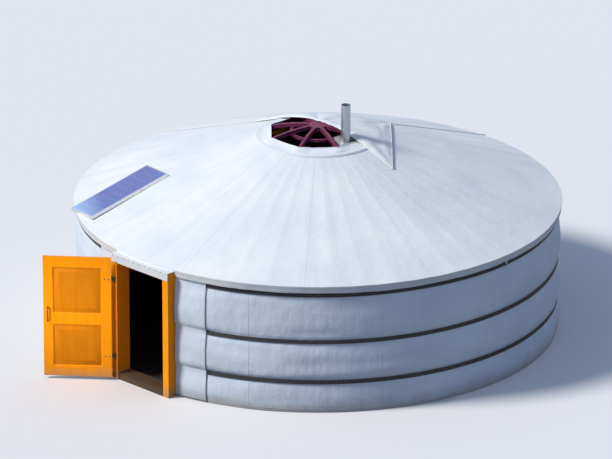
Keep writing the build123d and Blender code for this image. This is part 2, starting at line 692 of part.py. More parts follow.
def solar_frame():
    """Rim of the solar panel, with a shelf under its sheet."""
    rim = Box(SOLAR_LENGTH, SOLAR_WIDTH, SOLAR_DEPTH)
    well = Box(SOLAR_LENGTH - SOLAR_RIM, SOLAR_WIDTH - SOLAR_RIM, SOLAR_SHEET)
    inset = SOLAR_RIM + 2 * SOLAR_SHELF
    window = Box(SOLAR_LENGTH - inset, SOLAR_WIDTH - inset, 2 * SOLAR_DEPTH)
    rim -= Pos(0, 0, (SOLAR_DEPTH - SOLAR_SHEET) / 2) * well
    return on_roof(Pos(0, 0, SOLAR_DEPTH / 2) * (rim - window))


def solar_sheet():
    """Cell sheet seated in the rim."""
    length, width = SOLAR_LENGTH - SOLAR_RIM - 2 * SEAT_GAP, SOLAR_WIDTH - SOLAR_RIM - 2 * SEAT_GAP
    sheet = Box(length, width, SOLAR_SHEET - SEAT_GAP)
    return on_roof(Pos(0, 0, SOLAR_DEPTH - SOLAR_SHEET / 2) * sheet)


def build():
    """All nodes of the tent by name."""
    nodes = {}
    nodes.update(lattice_walls())
    nodes.update(wall_felts())
    nodes.update(roof_poles())
    nodes.update(roof_felts())
    nodes["wall_cover"] = wall_cover()
    nodes["roof_cover"] = roof_cover()
    nodes["crown_ring"] = crown_ring()
    nodes["crown_spokes"] = crown_spokes()
    nodes["crown_inner_ring"] = crown_inner_ring()
    nodes["crown_flap"] = crown_flap()
    nodes["flap_ropes"] = flap_ropes()
    for side, sign in (("left", -1), ("right", 1)):
        nodes[f"crown_post_{side}"] = crown_post(sign)
        nodes[f"door_jamb_{side}"] = door_jamb(sign)
        nodes[f"cover_strip_{side}"] = cover_strip(sign)
    for name, height in BELT_HEIGHTS.items():
        nodes[f"belt_{name}"] = belt(height)
    nodes["door_head"] = door_head()
    nodes["door_sill"] = door_sill()
    nodes["hinge_pins"] = hinge_pins()
    nodes["hinge_straps"] = opened(hinge_straps())
    nodes["door_leaf"] = opened(door_leaf())
    nodes["door_pulls"] = opened(door_pulls())
    nodes["stove_pipe"] = stove_pipe()
    nodes["pipe_plate"] = pipe_plate()
    nodes["solar_frame"] = solar_frame()
    nodes["solar_sheet"] = solar_sheet()
    return nodes


os.makedirs("parts", exist_ok=True)
for name, shape in build().items():
    export_step(shape, f"parts/{name}.step")
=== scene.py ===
import bisect
import json
import logging
import math
from dataclasses import dataclass
from enum import Enum
from functools import cached_property
from typing import Sequence

import bpy
from mathutils import Matrix, Vector, noise

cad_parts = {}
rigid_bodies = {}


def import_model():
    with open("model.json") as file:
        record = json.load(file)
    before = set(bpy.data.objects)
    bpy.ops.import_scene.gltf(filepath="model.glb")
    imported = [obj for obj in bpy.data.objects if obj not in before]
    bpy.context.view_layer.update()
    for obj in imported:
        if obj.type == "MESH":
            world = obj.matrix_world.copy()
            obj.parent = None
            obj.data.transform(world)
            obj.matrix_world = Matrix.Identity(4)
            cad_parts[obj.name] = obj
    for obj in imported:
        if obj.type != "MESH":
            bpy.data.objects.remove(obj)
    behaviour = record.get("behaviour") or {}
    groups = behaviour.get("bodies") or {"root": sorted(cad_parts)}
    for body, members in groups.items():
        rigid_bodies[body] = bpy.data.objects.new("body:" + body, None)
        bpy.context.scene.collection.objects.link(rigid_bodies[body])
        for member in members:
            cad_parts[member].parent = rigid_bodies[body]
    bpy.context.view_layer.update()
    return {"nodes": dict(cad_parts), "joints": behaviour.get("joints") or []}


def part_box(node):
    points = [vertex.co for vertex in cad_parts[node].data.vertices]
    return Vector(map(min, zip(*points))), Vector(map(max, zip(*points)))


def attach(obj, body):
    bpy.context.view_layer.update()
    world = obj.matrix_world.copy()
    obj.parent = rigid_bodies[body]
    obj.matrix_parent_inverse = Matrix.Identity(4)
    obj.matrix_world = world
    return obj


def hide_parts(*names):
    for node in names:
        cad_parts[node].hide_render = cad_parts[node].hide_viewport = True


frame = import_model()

LOG = logging.getLogger("yurt")
TURN = 2 * math.pi
UP = Vector((0, 0, 1))
FORWARD = Vector((0, -1, 0))
WALL_RADIUS = 2.857
SUNK = 0.001  # how deep the edges of tapes and hems go into their cloth
TAPE_EDGE = 0.0012  # how far a seam tape's edges stand out
GROOVE = 0.22  # depth of the groove between two strands, as a share of the rope's radius
Colour = tuple[float, float, float]
Profile = Sequence[tuple[float, float]]
Rows = list[list[Vector]]
Socket = bpy.types.NodeSocket
Thing = bpy.types.Object
DOMED_HEAD: Profile = ((1.0, 0.0), (0.95, 0.45), (0.72, 0.82), (0.35, 1.0))  # shares of its radius and height


class Body(str, Enum):
    """Bodies that a piece can ride on."""

    TENT = "tent"
    DOOR = "door"


class Held(str, Enum):
    """Ways in which a cloth is held."""

    STRETCHED = "stretched"
    HUNG = "hung"
    FOLDED = "folded"


class Coords(Enum):
    """Coordinates that a finish lies in: the tent's own axes, or wrapped round the tent."""

    STRAIGHT = 1
    ROUND = 2


# ---- nodes and finishes


class Wiring:
    """Adds nodes to one shader tree and links them."""

    def __init__(self, tree: bpy.types.NodeTree) -> None:
        """Starts with an empty tree."""
        self.tree = tree
        tree.nodes.clear()

    def node(self, kind: str, inputs: dict | None = None, **settings: object) -> bpy.types.Node:
        """Adds one node.

        Args:
            kind: The node's type, without the leading ShaderNode.
            inputs: Values or sockets for its inputs, by name, identifier or number.
            settings: Properties of the node.

        Returns:
            The new node.
        """
        made = self.tree.nodes.new(kind if kind.startswith("NodeGroup") else f"ShaderNode{kind}")
        for name, value in settings.items():
            setattr(made, name, value)
        for key, value in (inputs or {}).items():
            if isinstance(key, int):
                socket = made.inputs[key]
            else:
                socket = next(s for s in made.inputs if key in (s.identifier, s.name))
            self.feed(socket, value)
        return made

    def feed(self, socket: Socket, value: object) -> None:
        """Links a socket to the input, or sets the input's own value.

        Args:
            socket: The input.
            value: A socket, a number, a vector or a colour.
        """
        if isinstance(value, Socket):
            self.tree.links.new(value, socket)
        elif isinstance(value, tuple) and len(value) == 3 and socket.type == "RGBA":
            socket.default_value = (*value, 1.0)
        else:
            socket.default_value = value

    def math(self, operation: str, *values: object, clamp: bool = False) -> Socket:
        """Adds a Math node and returns its result."""
        return self.node("Math", dict(enumerate(values)), operation=operation, use_clamp=clamp).outputs[0]

    def times(self, first: object, second: object) -> Socket:
        """Multiplies two values."""
        return self.math("MULTIPLY", first, second)

    def plus_times(self, value: object, factor: object, added: object) -> Socket:
        """Multiplies a value by a factor and adds another value."""
        return self.math("MULTIPLY_ADD", value, factor, added)

    def blend(self, share: object, first: object, second: object) -> Socket:
        """Mixes two colours by a share and returns the colour."""
        mixed = self.node("Mix", {"Factor_Float": share, "A_Color": first, "B_Color": second}, data_type="RGBA")
        return next(s for s in mixed.outputs if s.identifier == "Result_Color")

    def stretched(self, vector: Socket, scale: tuple[float, float, float]) -> Socket:
        """Scales a vector along its three axes."""
        return self.node("Mapping", {"Vector": vector, "Scale": scale}).outputs[0]

    def noise(self, vector: Socket, scale: object, detail: float = 4.0) -> Socket:
        """Adds a noise texture and returns its value, from 0 to 1."""
        return self.node("TexNoise", {"Vector": vector, "Scale": scale, "Detail": detail}).outputs[0]

    def window(self, value: object, low: object, high: object) -> Socket:
        """Maps low to 0 and high to 1, and holds the value between them."""
        return self.node("MapRange", {"Value": value, "From Min": low, "From Max": high}, clamp=True).outputs[0]

    def bump(self, height: Socket, depth: float, under: Socket | None = None) -> Socket:
        """Turns a height into a normal, on top of another one where it is given."""
        inputs = {"Height": height, "Distance": depth, "Strength": 1.0} | ({"Normal": under} if under else {})
        return self.node("Bump", inputs).outputs[0]

    def parts(self, vector: Socket) -> Sequence[Socket]:
        """Splits a vector into its three numbers."""
        return self.node("SeparateXYZ", {0: vector}).outputs

    def straight(self) -> Socket:
        """Coordinates along the tent's own axes."""
        return self.node("TexCoord").outputs["Object"]

    def group(self, tree: bpy.types.NodeTree, **inputs: object) -> Sequence[Socket]:
        """Places a shared group and returns its outputs."""
        return self.node("Group", inputs, node_tree=tree).outputs

    def seen(self) -> Socket:
        """Marks what is looked at.

        Returns:
            1 where the camera looks straight at a thing, in a mirror or through glass, and 0 elsewhere.
        """
        path = self.node("LightPath").outputs
        straight = self.math("MAXIMUM", path["Is Camera Ray"], path["Is Glossy Ray"])
        return self.math("MAXIMUM", straight, path["Is Transmission Ray"])


class Effects:
    """Shared node groups: each is built once and placed in many materials."""

    def __init__(self) -> None:
        """Builds all the groups."""
        self._round_coords()
        self._weave()
        self._soil()
        self._wear()
        self._grain()

    @staticmethod
    def _group(name: str, takes: dict[str, float | None], *gives: str) -> tuple:
        """Starts a node group.

        Args:
            name: The group's name.
            takes: Its inputs with their default values, None for a vector.
            gives: Names of its outputs.

        Returns:
            The group, its wiring, the sockets of its inputs and those of its outputs.
        """
        tree = bpy.data.node_groups.new(name, "ShaderNodeTree")
        for label, value in takes.items():
            kind = "Vector" if value is None else "Float"
            socket = tree.interface.new_socket(label, in_out="INPUT", socket_type=f"NodeSocket{kind}")
            if value is not None:
                socket.default_value = value
        for label in gives:
            kind = "Vector" if label == "Vector" else "Float"
            tree.interface.new_socket(label, in_out="OUTPUT", socket_type=f"NodeSocket{kind}")
        w = Wiring(tree)
        return tree, w, w.node("NodeGroupInput").outputs, w.node("NodeGroupOutput").inputs

    def _round_coords(self) -> None:
        """Coordinates wrapped round the tent: way round, distance from the axis, height."""
        self.round_coords, w, _, out = self._group("tent_coordinates", {}, "Vector")
        x, y, z = w.parts(w.straight())
        angle = w.math("ARCTAN2", x, w.times(y, -1.0))
        radius = w.math("SQRT", w.math("ADD", w.times(x, x), w.times(y, y)))
        w.feed(out[0], w.node("CombineXYZ", {0: w.times(angle, WALL_RADIUS), 1: radius, 2: z}).outputs[0])

    def _weave(self) -> None:
        """Plain weave: threads that pass over and under, with uneven thickness."""
        self.weave, w, given, out = self._group("plain_weave", {"Vector": None, "Threads": 500.0}, "Height")
        x, y, z = w.parts(given[0])
        across = w.math("SINE", w.times(x, given[1]))
        along = w.math("SINE", w.times(w.math("ADD", y, z), given[1]))
        crossed = w.plus_times(w.times(across, along), 0.35, 0.4)
        w.feed(out[0], w.math("ADD", crossed, w.times(w.noise(given[0], 60.0, 2.0), 0.4)))

    def _soil(self) -> None:
        """Splashes near the ground and faint blotches higher up, as masks."""
        self.soil, w, given, out = self._group("ground_soil", {"Reach": 0.2, "Blotches": 0.2}, "Mask", "Blotch")
        at = w.straight()
        level = w.times(given[0], w.plus_times(w.noise(at, 7.0, 6.0), 1.6, -0.5))
        w.feed(out[0], w.window(w.parts(at)[2], w.math("ADD", level, 0.12), w.times(level, 0.2)))
        streaks = w.noise(w.stretched(at, (3.0, 3.0, 0.5)), 2.2, 5.0)
        w.feed(out[1], w.times(w.window(streaks, 0.45, 0.75), given[1]))

    def _wear(self) -> None:
        """Worn edges, broken up by noise, as a mask."""
        self.wear, w, given, out = self._group("edge_wear", {"Amount": 0.5}, "Mask")
        rounded = w.node("Bevel", {"Radius": 0.007}, samples=4).outputs[0]
        flat = w.node("NewGeometry").outputs["Normal"]
        match = w.node("VectorMath", {0: rounded, 1: flat}, operation="DOT_PRODUCT").outputs["Value"]
        broken = w.window(w.noise(w.straight(), 16.0, 6.0), 0.46, 0.66)
        edge = w.times(w.window(match, 0.985, 0.90), broken)
        w.feed(out[0], w.math("MULTIPLY", edge, given[0], clamp=True))

    def _grain(self) -> None:
        """Wood grain or brush marks along the longest way of a stretched vector."""
        takes = {"Vector": None, "Scale": 10.0}
        self.grain, w, given, out = self._group("wood_grain", takes, "Streaks", "Height")
        coarse = w.noise(given[0], given[1], 3.0)
        fine = w.noise(given[0], w.times(given[1], 4.0), 5.0)
        w.feed(out[0], w.window(coarse, 0.35, 0.68))
        w.feed(out[1], w.plus_times(fine, 0.6, w.times(coarse, 0.4)))


@dataclass(frozen=True)
class Finish:
    """Base of all finishes: a name, a main colour and its roughness."""

    name: str
    colour: Colour
    roughness: float = 0.7

    def material(self, effects: Effects) -> bpy.types.Material:
        """Gives the finish's material, built when it is first asked for.

        Args:
            effects: The shared node groups.

        Returns:
            The material.
        """
        found = bpy.data.materials.get(self.name)
        if found is None:
            found = bpy.data.materials.new(self.name)
            found.use_nodes = True
            found.diffuse_color = (*self.colour, 1.0)
            w = Wiring(found.node_tree)
            shader = w.node("BsdfPrincipled", {"Roughness": self.roughness} | self.wire(w, effects))
            w.node("OutputMaterial", {"Surface": shader.outputs[0]})
        return found

    def wire(self, w: Wiring, effects: Effects) -> dict[str, object]:
        """Adds the finish's own nodes and returns what they feed to the shader's inputs."""
        raise NotImplementedError

    @staticmethod
    def coords(w: Wiring, effects: Effects, kind: Coords) -> Socket:
        """Coordinates of the wanted kind."""
        return w.group(effects.round_coords)[0] if kind is Coords.ROUND else w.straight()


@dataclass(frozen=True)
class Canvas(Finish):
    """Woven cotton cloth, greyed in blotches and splashed near the ground."""

    shade: Colour = (0.6, 0.6, 0.6)
    dirt: Colour = (0.30, 0.24, 0.17)
    reach: float = 0.16
    blotches: float = 0.5
    threads: float = 900.0
    crease: float = 0.010
    streaks: float = 0.0

    def wire(self, w: Wiring, effects: Effects) -> dict[str, object]:
        """Weave, slow colour changes, fine creases and soil.

        Args:
            w: The material's wiring.
            effects: The shared node groups.

        Returns:
            What the nodes feed to the shader's inputs.
        """
        at, plain = self.coords(w, effects, Coords.ROUND), self.coords(w, effects, Coords.STRAIGHT)
        soil = w.group(effects.soil, Reach=self.reach, Blotches=self.blotches)
        cloth = w.blend(w.window(w.noise(plain, 1.3, 6.0), 0.35, 0.75), self.colour, self.shade)
        cloth = w.blend(soil["Blotch"], cloth, self.shade)
        cloth = w.blend(w.times(soil["Mask"], 0.5), cloth, self.dirt)
        if self.streaks:
            lines = w.noise(w.stretched(at, (1.0, 0.10, 0.0)), 5.0, 6.0)
            cloth = w.blend(w.times(w.window(lines, 0.46, 0.74), self.streaks), cloth, self.shade)
        weave = w.group(effects.weave, Vector=at, Threads=self.threads)
        creases = w.noise(w.stretched(plain, (1.0, 1.0, 0.6)), 9.0, 8.0)
        return {
            "Base Color": cloth,
            "Normal": w.bump(weave[0], 0.0006, w.bump(creases, self.crease)),
            "Roughness": w.plus_times(creases, 0.16, self.roughness - 0.08),
            "Sheen Weight": 0.08,
            "Specular IOR Level": 0.25,
        }


@dataclass(frozen=True)
class Felt(Finish):
    """Pressed wool: matted hairs and darker tufts."""

    tuft: Colour = (0.3, 0.28, 0.24)

    def wire(self, w: Wiring, effects: Effects) -> dict[str, object]:
        """Tufts in colour and height.

        Args:
            w: The material's wiring.
            effects: The shared node groups.

        Returns:
            What the nodes feed to the shader's inputs.
        """
        at = w.straight()
        tufts = w.noise(at, 18.0, 8.0)
        hairs = w.noise(w.stretched(at, (1.0, 1.0, 2.0)), 160.0, 4.0)
        return {
            "Base Color": w.blend(w.window(tufts, 0.45, 0.75), self.colour, self.tuft),
            "Normal": w.bump(hairs, 0.004, w.bump(tufts, 0.02)),
            "Sheen Weight": 0.3,
            "Specular IOR Level": 0.15,
        }


@dataclass(frozen=True)
class Hair(Finish):
    """Twisted hair rope with lighter flecks."""

    fleck: Colour = (0.4, 0.36, 0.3)

    def wire(self, w: Wiring, effects: Effects) -> dict[str, object]:
        """Flecks that lie across the rope.

        Args:
            w: The material's wiring.
            effects: The shared node groups.

        Returns:
            What the nodes feed to the shader's inputs.
        """
        at = self.coords(w, effects, Coords.ROUND)
        flecks = w.noise(w.stretched(at, (1.0, 1.0, 0.4)), 90.0, 4.0)
        return {
            "Base Color": w.blend(w.window(flecks, 0.5, 0.72), self.colour, self.fleck),
            "Normal": w.bump(w.noise(at, 320.0, 3.0), 0.002),
            "Roughness": w.window(flecks, -1.6, 1.1),
        }


@dataclass(frozen=True)
class Paint(Finish):
    """Brushed oil paint on wood, thin on the edges, dusty near the ground."""

    faded: Colour = (0.5, 0.3, 0.1)
    bare: Colour = (0.32, 0.20, 0.11)
    lie: Coords = Coords.STRAIGHT
    stretch: tuple[float, float, float] = (1.0, 1.0, 0.08)
    scale: float = 22.0
    wear: float = 0.0
    coat: float = 0.04
    reach: float = 0.10
    dirt: Colour = (0.30, 0.25, 0.19)

    def wire(self, w: Wiring, effects: Effects) -> dict[str, object]:
        """Brush marks along the grain, faded patches, bare edges and dust.

        Args:
            w: The material's wiring.
            effects: The shared node groups.

        Returns:
            What the nodes feed to the shader's inputs.
        """
        at = w.stretched(self.coords(w, effects, self.lie), self.stretch)
        grain = w.group(effects.grain, Vector=at, Scale=self.scale)
        paint = w.blend(w.times(grain["Streaks"], 0.45), self.colour, self.faded)
        patches = w.window(w.noise(w.straight(), 2.3), 0.5, 0.8)
        paint = w.blend(w.times(patches, 0.5), paint, self.faded)
        if self.wear:
            paint = w.blend(w.group(effects.wear, Amount=self.wear)["Mask"], paint, self.bare)
        soil = w.group(effects.soil, Reach=self.reach, Blotches=0.2)
        return {
            "Base Color": w.blend(w.times(soil["Mask"], 0.55), paint, self.dirt),
            "Normal": w.bump(grain["Height"], 0.0015),
            "Roughness": w.plus_times(grain["Streaks"], 0.2, self.roughness - 0.1),
            "Specular IOR Level": 0.12,
            "Coat Weight": self.coat,
            "Coat Roughness": 0.3,
        }


@dataclass(frozen=True)
class Metal(Finish):
    """Plain metal with rubbed edges, tarnish and, where it is wanted, soot toward the top."""

    tarnish: Colour = (0.2, 0.17, 0.14)
    metallic: float = 1.0
    spread: float = 0.5
    soot_from: float = 99.0
    soot_to: float = 100.0

    def wire(self, w: Wiring, effects: Effects) -> dict[str, object]:
        """Tarnish in patches, run marks and soot.

        Args:
            w: The material's wiring.
            effects: The shared node groups.

        Returns:
            What the nodes feed to the shader's inputs.
        """
        at = w.straight()
        patches = w.window(w.noise(at, 11.0, 7.0), 0.62 - 0.3 * self.spread, 0.8)
        runs = w.noise(w.stretched(at, (1.0, 1.0, 0.06)), 45.0, 4.0)
        tint = w.blend(w.times(patches, 0.8), self.colour, self.tarnish)
        tint = w.blend(w.times(w.window(runs, 0.5, 0.8), 0.35), tint, self.tarnish)
        ragged = w.plus_times(w.noise(at, 16.0, 5.0), 0.12, w.parts(at)[2])
        soot = w.window(ragged, self.soot_from, self.soot_to)
        return {
            "Base Color": w.blend(w.times(soot, 0.85), tint, (0.02, 0.02, 0.02)),
            "Metallic": w.times(w.math("SUBTRACT", 1.0, soot), self.metallic),
            "Roughness": w.plus_times(patches, 0.25, self.roughness),
            "Normal": w.bump(w.noise(at, 70.0, 5.0), 0.0012),
        }


@dataclass(frozen=True)
class Cell(Finish):
    """Crystal flakes of a solar cell under glass."""

    flake: Colour = (0.1, 0.2, 0.5)
    # Pale blue on the glass: a painted sky reflection, also the tint of the fine dust specks.
    dust: Colour = (0.36, 0.58, 0.88)
    # Heights between which the painted reflection fades in, strongest lower down.
    plain_above: float = 1.73
    glare_below: float = 1.62

    def wire(self, w: Wiring, effects: Effects) -> dict[str, object]:
        """Angular flakes of two blues, fine specks of dust on the glass, and a painted pale blue sky reflection that
        grows toward the lower end.

        Args:
            w: The material's wiring.
            effects: The shared node groups.

        Returns:
            What the nodes feed to the shader's inputs.
        """
        at = w.straight()
        flakes = w.node("TexVoronoi", {"Vector": at, "Scale": 55.0}).outputs["Color"]
        tone = w.node("SeparateColor", {0: flakes}).outputs[0]
        dust = w.window(w.noise(at, 5.0, 6.0), 0.45, 0.85)
        # Painted sky reflection, paler blue toward the panel's lower end.
        lower_glare = w.times(w.window(w.parts(at)[2], self.plain_above, self.glare_below), 0.75)
        # The stronger of the fine dust specks and the painted lower reflection.
        dusty = w.math("MAXIMUM", w.times(dust, 0.12), lower_glare)
        return {
            "Base Color": w.blend(dusty, w.blend(tone, self.colour, self.flake), self.dust),
            "Roughness": w.plus_times(dust, 0.3, self.roughness),
            "Coat Weight": 0.35,
            "Coat Roughness": 0.15,
        }


# Wall canvas: white cotton tinted blue, painting in the cold blue of sky shade on the walls; the roof canvas is the
# same cloth kept nearer neutral.
CANVAS_PAINTED_SKY_TINT = Canvas("canvas_painted_sky_tint", (0.80, 0.89, 0.985), 0.85, shade=(0.68, 0.755, 0.84), blotches=0.2)
ROOF_CANVAS = Canvas(
    "roof_canvas", (0.84, 0.86, 0.83), 0.85, shade=(0.70, 0.735, 0.78), reach=0.0, blotches=0.2, crease=0.005,
    streaks=0.6,
)
SEAM_TAPE = Canvas("seam_tape", (0.82, 0.845, 0.875), 0.85, shade=(0.70, 0.73, 0.77), blotches=0.3, crease=0.005)
GREY_FELT = Felt("grey_felt", (0.50, 0.47, 0.42), 0.95, tuft=(0.30, 0.27, 0.23))
THONG = Felt("leather_thong", (0.10, 0.05, 0.03), 0.6, tuft=(0.16, 0.09, 0.05))
DARK_HAIR = Hair("dark_hair", (0.045, 0.040, 0.042), 0.85, fleck=(0.16, 0.14, 0.13))
PALE_ROPE = Hair("pale_rope", (0.76, 0.75, 0.73), 0.85, fleck=(0.58, 0.56, 0.53))
LATTICE_STAIN = Paint(
    "lattice_stain", (0.50, 0.20, 0.07), 0.6, faded=(0.62, 0.33, 0.15), scale=30.0, coat=0.0, reach=0.12
)
POLE_ORANGE = Paint(
    "pole_orange", (0.66, 0.21, 0.03), 0.45, faded=(0.74, 0.30, 0.08), lie=Coords.ROUND, stretch=(1.0, 0.06, 1.0)
)
CROWN_MAROON = Paint(
    "crown_maroon", (0.15, 0.022, 0.068), 0.42, faded=(0.25, 0.055, 0.12), bare=(0.16, 0.09, 0.06),
    lie=Coords.ROUND, stretch=(0.08, 1.0, 1.0), wear=0.6,
)
DOOR_ORANGE = Paint("door_orange", (0.93, 0.275, 0.002), 0.5, faded=(0.95, 0.36, 0.006), wear=0.8, reach=0.12)
PANEL_ORANGE = Paint("panel_orange", (0.60, 0.175, 0.002), 0.5, faded=(0.70, 0.235, 0.006), reach=0.12)
# Sill in nearly black paint, much darker than the rest of the door frame.
DARK_SILL = Paint(
    "dark_sill", (0.06, 0.032, 0.018), 0.6, faded=(0.11, 0.065, 0.04), stretch=(0.08, 1.0, 1.0), coat=0.0,
    reach=0.06, dirt=(0.08, 0.062, 0.045),
)
BLACK_IRON = Metal("black_iron", (0.10, 0.10, 0.11), 0.45, tarnish=(0.16, 0.08, 0.05), metallic=0.8)
PIPE_STEEL = Metal(
    "pipe_steel", (0.37, 0.43, 0.50), 0.38, tarnish=(0.24, 0.23, 0.23), metallic=0.85, soot_from=2.70, soot_to=2.90
)
TIN_PLATE = Metal("tin_plate", (0.46, 0.48, 0.50), 0.35, tarnish=(0.16, 0.13, 0.11), metallic=0.9, spread=0.9)
PALE_ALUMINIUM = Metal("pale_aluminium", (0.74, 0.76, 0.78), 0.32, tarnish=(0.5, 0.5, 0.5), spread=0.2)
SILVER_LINE = Metal("silver_line", (0.45, 0.50, 0.60), 0.35, tarnish=(0.5, 0.52, 0.56), metallic=0.7, spread=0.1)
SOLAR_BLUE = Cell("solar_blue", (0.045, 0.080, 0.32), 0.4, flake=(0.075, 0.12, 0.44))
SOLAR_BACKING = Cell("solar_backing", (0.12, 0.18, 0.42), 0.4, flake=(0.14, 0.21, 0.48))


# ---- meshes


def wobble(at: Vector, scale: float, seed: float = 0.0, down: float = 1.0) -> float:
    """Smooth noise from -1 to 1 at a point; down stretches it along the height."""
    return noise.noise(Vector((at.x * scale + seed, at.y * scale - seed, at.z * scale * down + 2 * seed)))


def spaced(low: float, high: float, count: int) -> list[float]:
    """Evenly spaced numbers from low to high, both ends included."""
    return [low + (high - low) * i / (count - 1) for i in range(count)]


def around(count: int) -> list[float]:
    """Evenly spaced angles of one full turn."""
    return spaced(0, TURN, count + 1)[:-1]


def limited(value: float) -> float:
    """The value, held between 0 and 1."""
    return min(max(value, 0.0), 1.0)


def polar(radius: float, angle: float, height: float = 0.0) -> Vector:
    """Point at a radius and an angle from the doorway's middle, growing toward +X."""
    return Vector((radius * math.sin(angle), -radius * math.cos(angle), height))


def band(low: float, high: float, out: float) -> Profile:
    """Section of a sewn band: its way across and how far it stands out."""
    return (low, -SUNK), (low, out), (high, out), (high, -SUNK)


def tape(half: float, middle: float) -> Profile:
    """Section of a seam tape that is thicker in the middle, over the seam."""
    return (-half, -SUNK), (-half, TAPE_EDGE), (0.0, middle), (half, TAPE_EDGE), (half, -SUNK)


class MeshBook:
    """Collects points and faces and turns them into one piece."""

    def __init__(self) -> None:
        """Starts empty."""
        self.points: list[Vector] = []
        self.faces: list[tuple[int, ...]] = []
        self.kinds: list[int] = []

    def grid(self, rows: Rows, closed: bool = False, kind: int = 0) -> None:
        """Adds a sheet of four-cornered faces.

        Args:
            rows: Rows of points, all of one length.
            closed: Whether each row's last point joins its first.
            kind: Which of the piece's finishes the faces get.
        """
        start, width = len(self.points), len(rows[0])
        for row in rows:
            self.points.extend(row)
        for i in range(len(rows) - 1):
            for j in range(width if closed else width - 1):
                a, b = start + i * width + j, start + i * width + (j + 1) % width
                self.faces.append((a, b, b + width, a + width))
                self.kinds.append(kind)

    def cap(self, ring: Sequence[Vector], kind: int = 0) -> None:
        """Adds one face.

        Args:
            ring: Its corners.
            kind: Which of the piece's finishes it gets.
        """
        start = len(self.points)
        self.points.extend(ring)
        self.faces.append(tuple(range(start, start + len(ring))))
        self.kinds.append(kind)

    def tube(
        self, path: Sequence[Vector], radius: float, sides: int = 8, closed: bool = False,
        twist: float = 0.0, lobes: int = 0, kind: int = 0,
    ) -> None:
        """Adds a round or twisted rope along a path.

        Args:
            path: Points of the centreline.
            radius: Half of its thickness.
            sides: Corners of its section.
            closed: Whether the path's end joins its start.
            twist: Turn of the section from point to point, in radians.
            lobes: Strands that show in the section, 0 for a round one.
            kind: Which of the piece's finishes the faces get.
        """
        rows: Rows = []
        side, count = UP, len(path)
        for i, point in enumerate(path):
            before = path[i - 1] if closed or i else point
            after = path[(i + 1) % count] if closed or i < count - 1 else point
            run = (after - before).normalized()
            side = side - run * side.dot(run)
            if side.length < 1e-4:
                side = run.orthogonal()
            side.normalize()
            other = run.cross(side)
            row = []
            for angle in around(sides):
                reach = radius * (1 - GROOVE * (0.5 - 0.5 * math.cos(lobes * (angle - i * twist))))
                row.append(point + side * (reach * math.cos(angle)) + other * (reach * math.sin(angle)))
            rows.append(row)
        if closed:
            rows.append(rows[0])
        self.grid(rows, closed=True, kind=kind)
        if not closed:
            self.cap(rows[0][::-1], kind)
            self.cap(rows[-1], kind)

    def dome(self, centre: Vector, out: Vector, radius: float, rise: float, sides: int = 10) -> None:
        """Adds a domed head, such as a bolt's.

        Args:
            centre: Where its middle stands on a surface.
            out: The surface's direction.
            radius: Its radius.
            rise: Its height.
            sides: Corners of its outline.
        """
        first = out.orthogonal().normalized()
        second = out.cross(first)
        rows = []
        for share, height in DOMED_HEAD:
            rows.append([
                centre + (first * math.cos(a) + second * math.sin(a)) * radius * share + out * rise * height
                for a in around(sides)
            ])
        self.grid(rows, closed=True)
        self.cap(rows[-1])

    def slab(self, outline: Sequence[Vector], rise: Vector, inset: float = 0.0, kind: int = 0) -> None:
        """Adds a raised slab.

        Args:
            outline: Corners of its foot.
            rise: The way from its foot to its top.
            inset: How much smaller its top is all round.
            kind: Which of the piece's finishes it gets.
        """
        middle = sum(outline, Vector()) / len(outline)
        top = [p + (middle - p).normalized() * inset + rise for p in outline]
        self.grid([list(outline), top], closed=True, kind=kind)
        self.cap(top, kind)


@dataclass(frozen=True)
class TentForm:
    """Main lines of the tent, in metres and radians, that every cover and tie follows."""

    crown_radius: float
    ring_top: float
    frame_half: float
    wall_radius: float = WALL_RADIUS
    eave_radius: float = 2.900
    eave_height: float = 1.585
    slope: float = math.radians(19.4)
    dome_rise: float = 0.135
    felt_thickness: float = 0.028
    cover_depth: float = 0.0063
    lattice_inside: float = 2.7944
    sections: int = 5
    cells: int = 45
    door_poles: int = 3

    @classmethod
    def from_frame(cls) -> "TentForm":
        """Reads the crown's and the doorway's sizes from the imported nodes."""
        low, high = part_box("crown_ring")
        return cls(crown_radius=(high.x - low.x) / 2, ring_top=high.z, frame_half=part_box("door_jamb_right")[1].x)

    @property
    def door_angle(self) -> float:
        """Angle from the doorway's middle to the first lattice head."""
        return math.asin((self.frame_half + 0.0003) / self.lattice_inside)

    @property
    def cell(self) -> float:
        """Angle from one lattice head to the next."""
        return (TURN - 2 * self.door_angle) / self.cells

    @cached_property
    def pole_angles(self) -> list[float]:
        """Finds the angles of all roof poles.

        Returns:
            The angles in turn, from the first pole left of the doorway's middle.
        """
        step = 2 * self.door_angle / (self.door_poles + 1)
        over_door = [-self.door_angle + (n + 1) * step for n in range(self.door_poles)]
        return over_door + [self.door_angle + n * self.cell for n in range(self.cells + 1)]

    def between_poles(self, angle: float) -> tuple[float, float]:
        """Finds the place of an angle between its two poles.

        Args:
            angle: The angle from the doorway's middle.

        Returns:
            The place, from -1 at one pole to 1 at the next, and half the angle between them.
        """
        angles = self.pole_angles
        turned = (angle - angles[0]) % TURN + angles[0]
        i = bisect.bisect_right(angles, turned) - 1
        left = angles[i]
        right = angles[i + 1] if i + 1 < len(angles) else angles[0] + TURN
        return 2 * (turned - left) / (right - left) - 1, (right - left) / 2

    def flat_share(self, angle: float) -> float:
        """Distance from the axis of a flat face that spans two poles, as a share of the poles' own."""
        across, half = self.between_poles(angle)
        return math.cos(half) / math.cos(across * half)

    def fall_between(self, radius: float, half: float) -> float:
        """How much lower than the cone the middle of a straight line between two poles lies."""
        return radius * (1 / math.cos(half) - 1) * math.tan(self.slope)

    def roof_height(self, radius: float) -> float:
        """Height of the roof cover's top at a radius."""
        return self.eave_height + (self.eave_radius - radius) * math.tan(self.slope)

    def dome_height(self, radius: float) -> float:
        """Height of the crown's domed top at a radius."""
        curve = (self.crown_radius**2 + self.dome_rise**2) / (2 * self.dome_rise)
        return self.ring_top + self.dome_rise - curve + math.sqrt(curve**2 - radius**2)


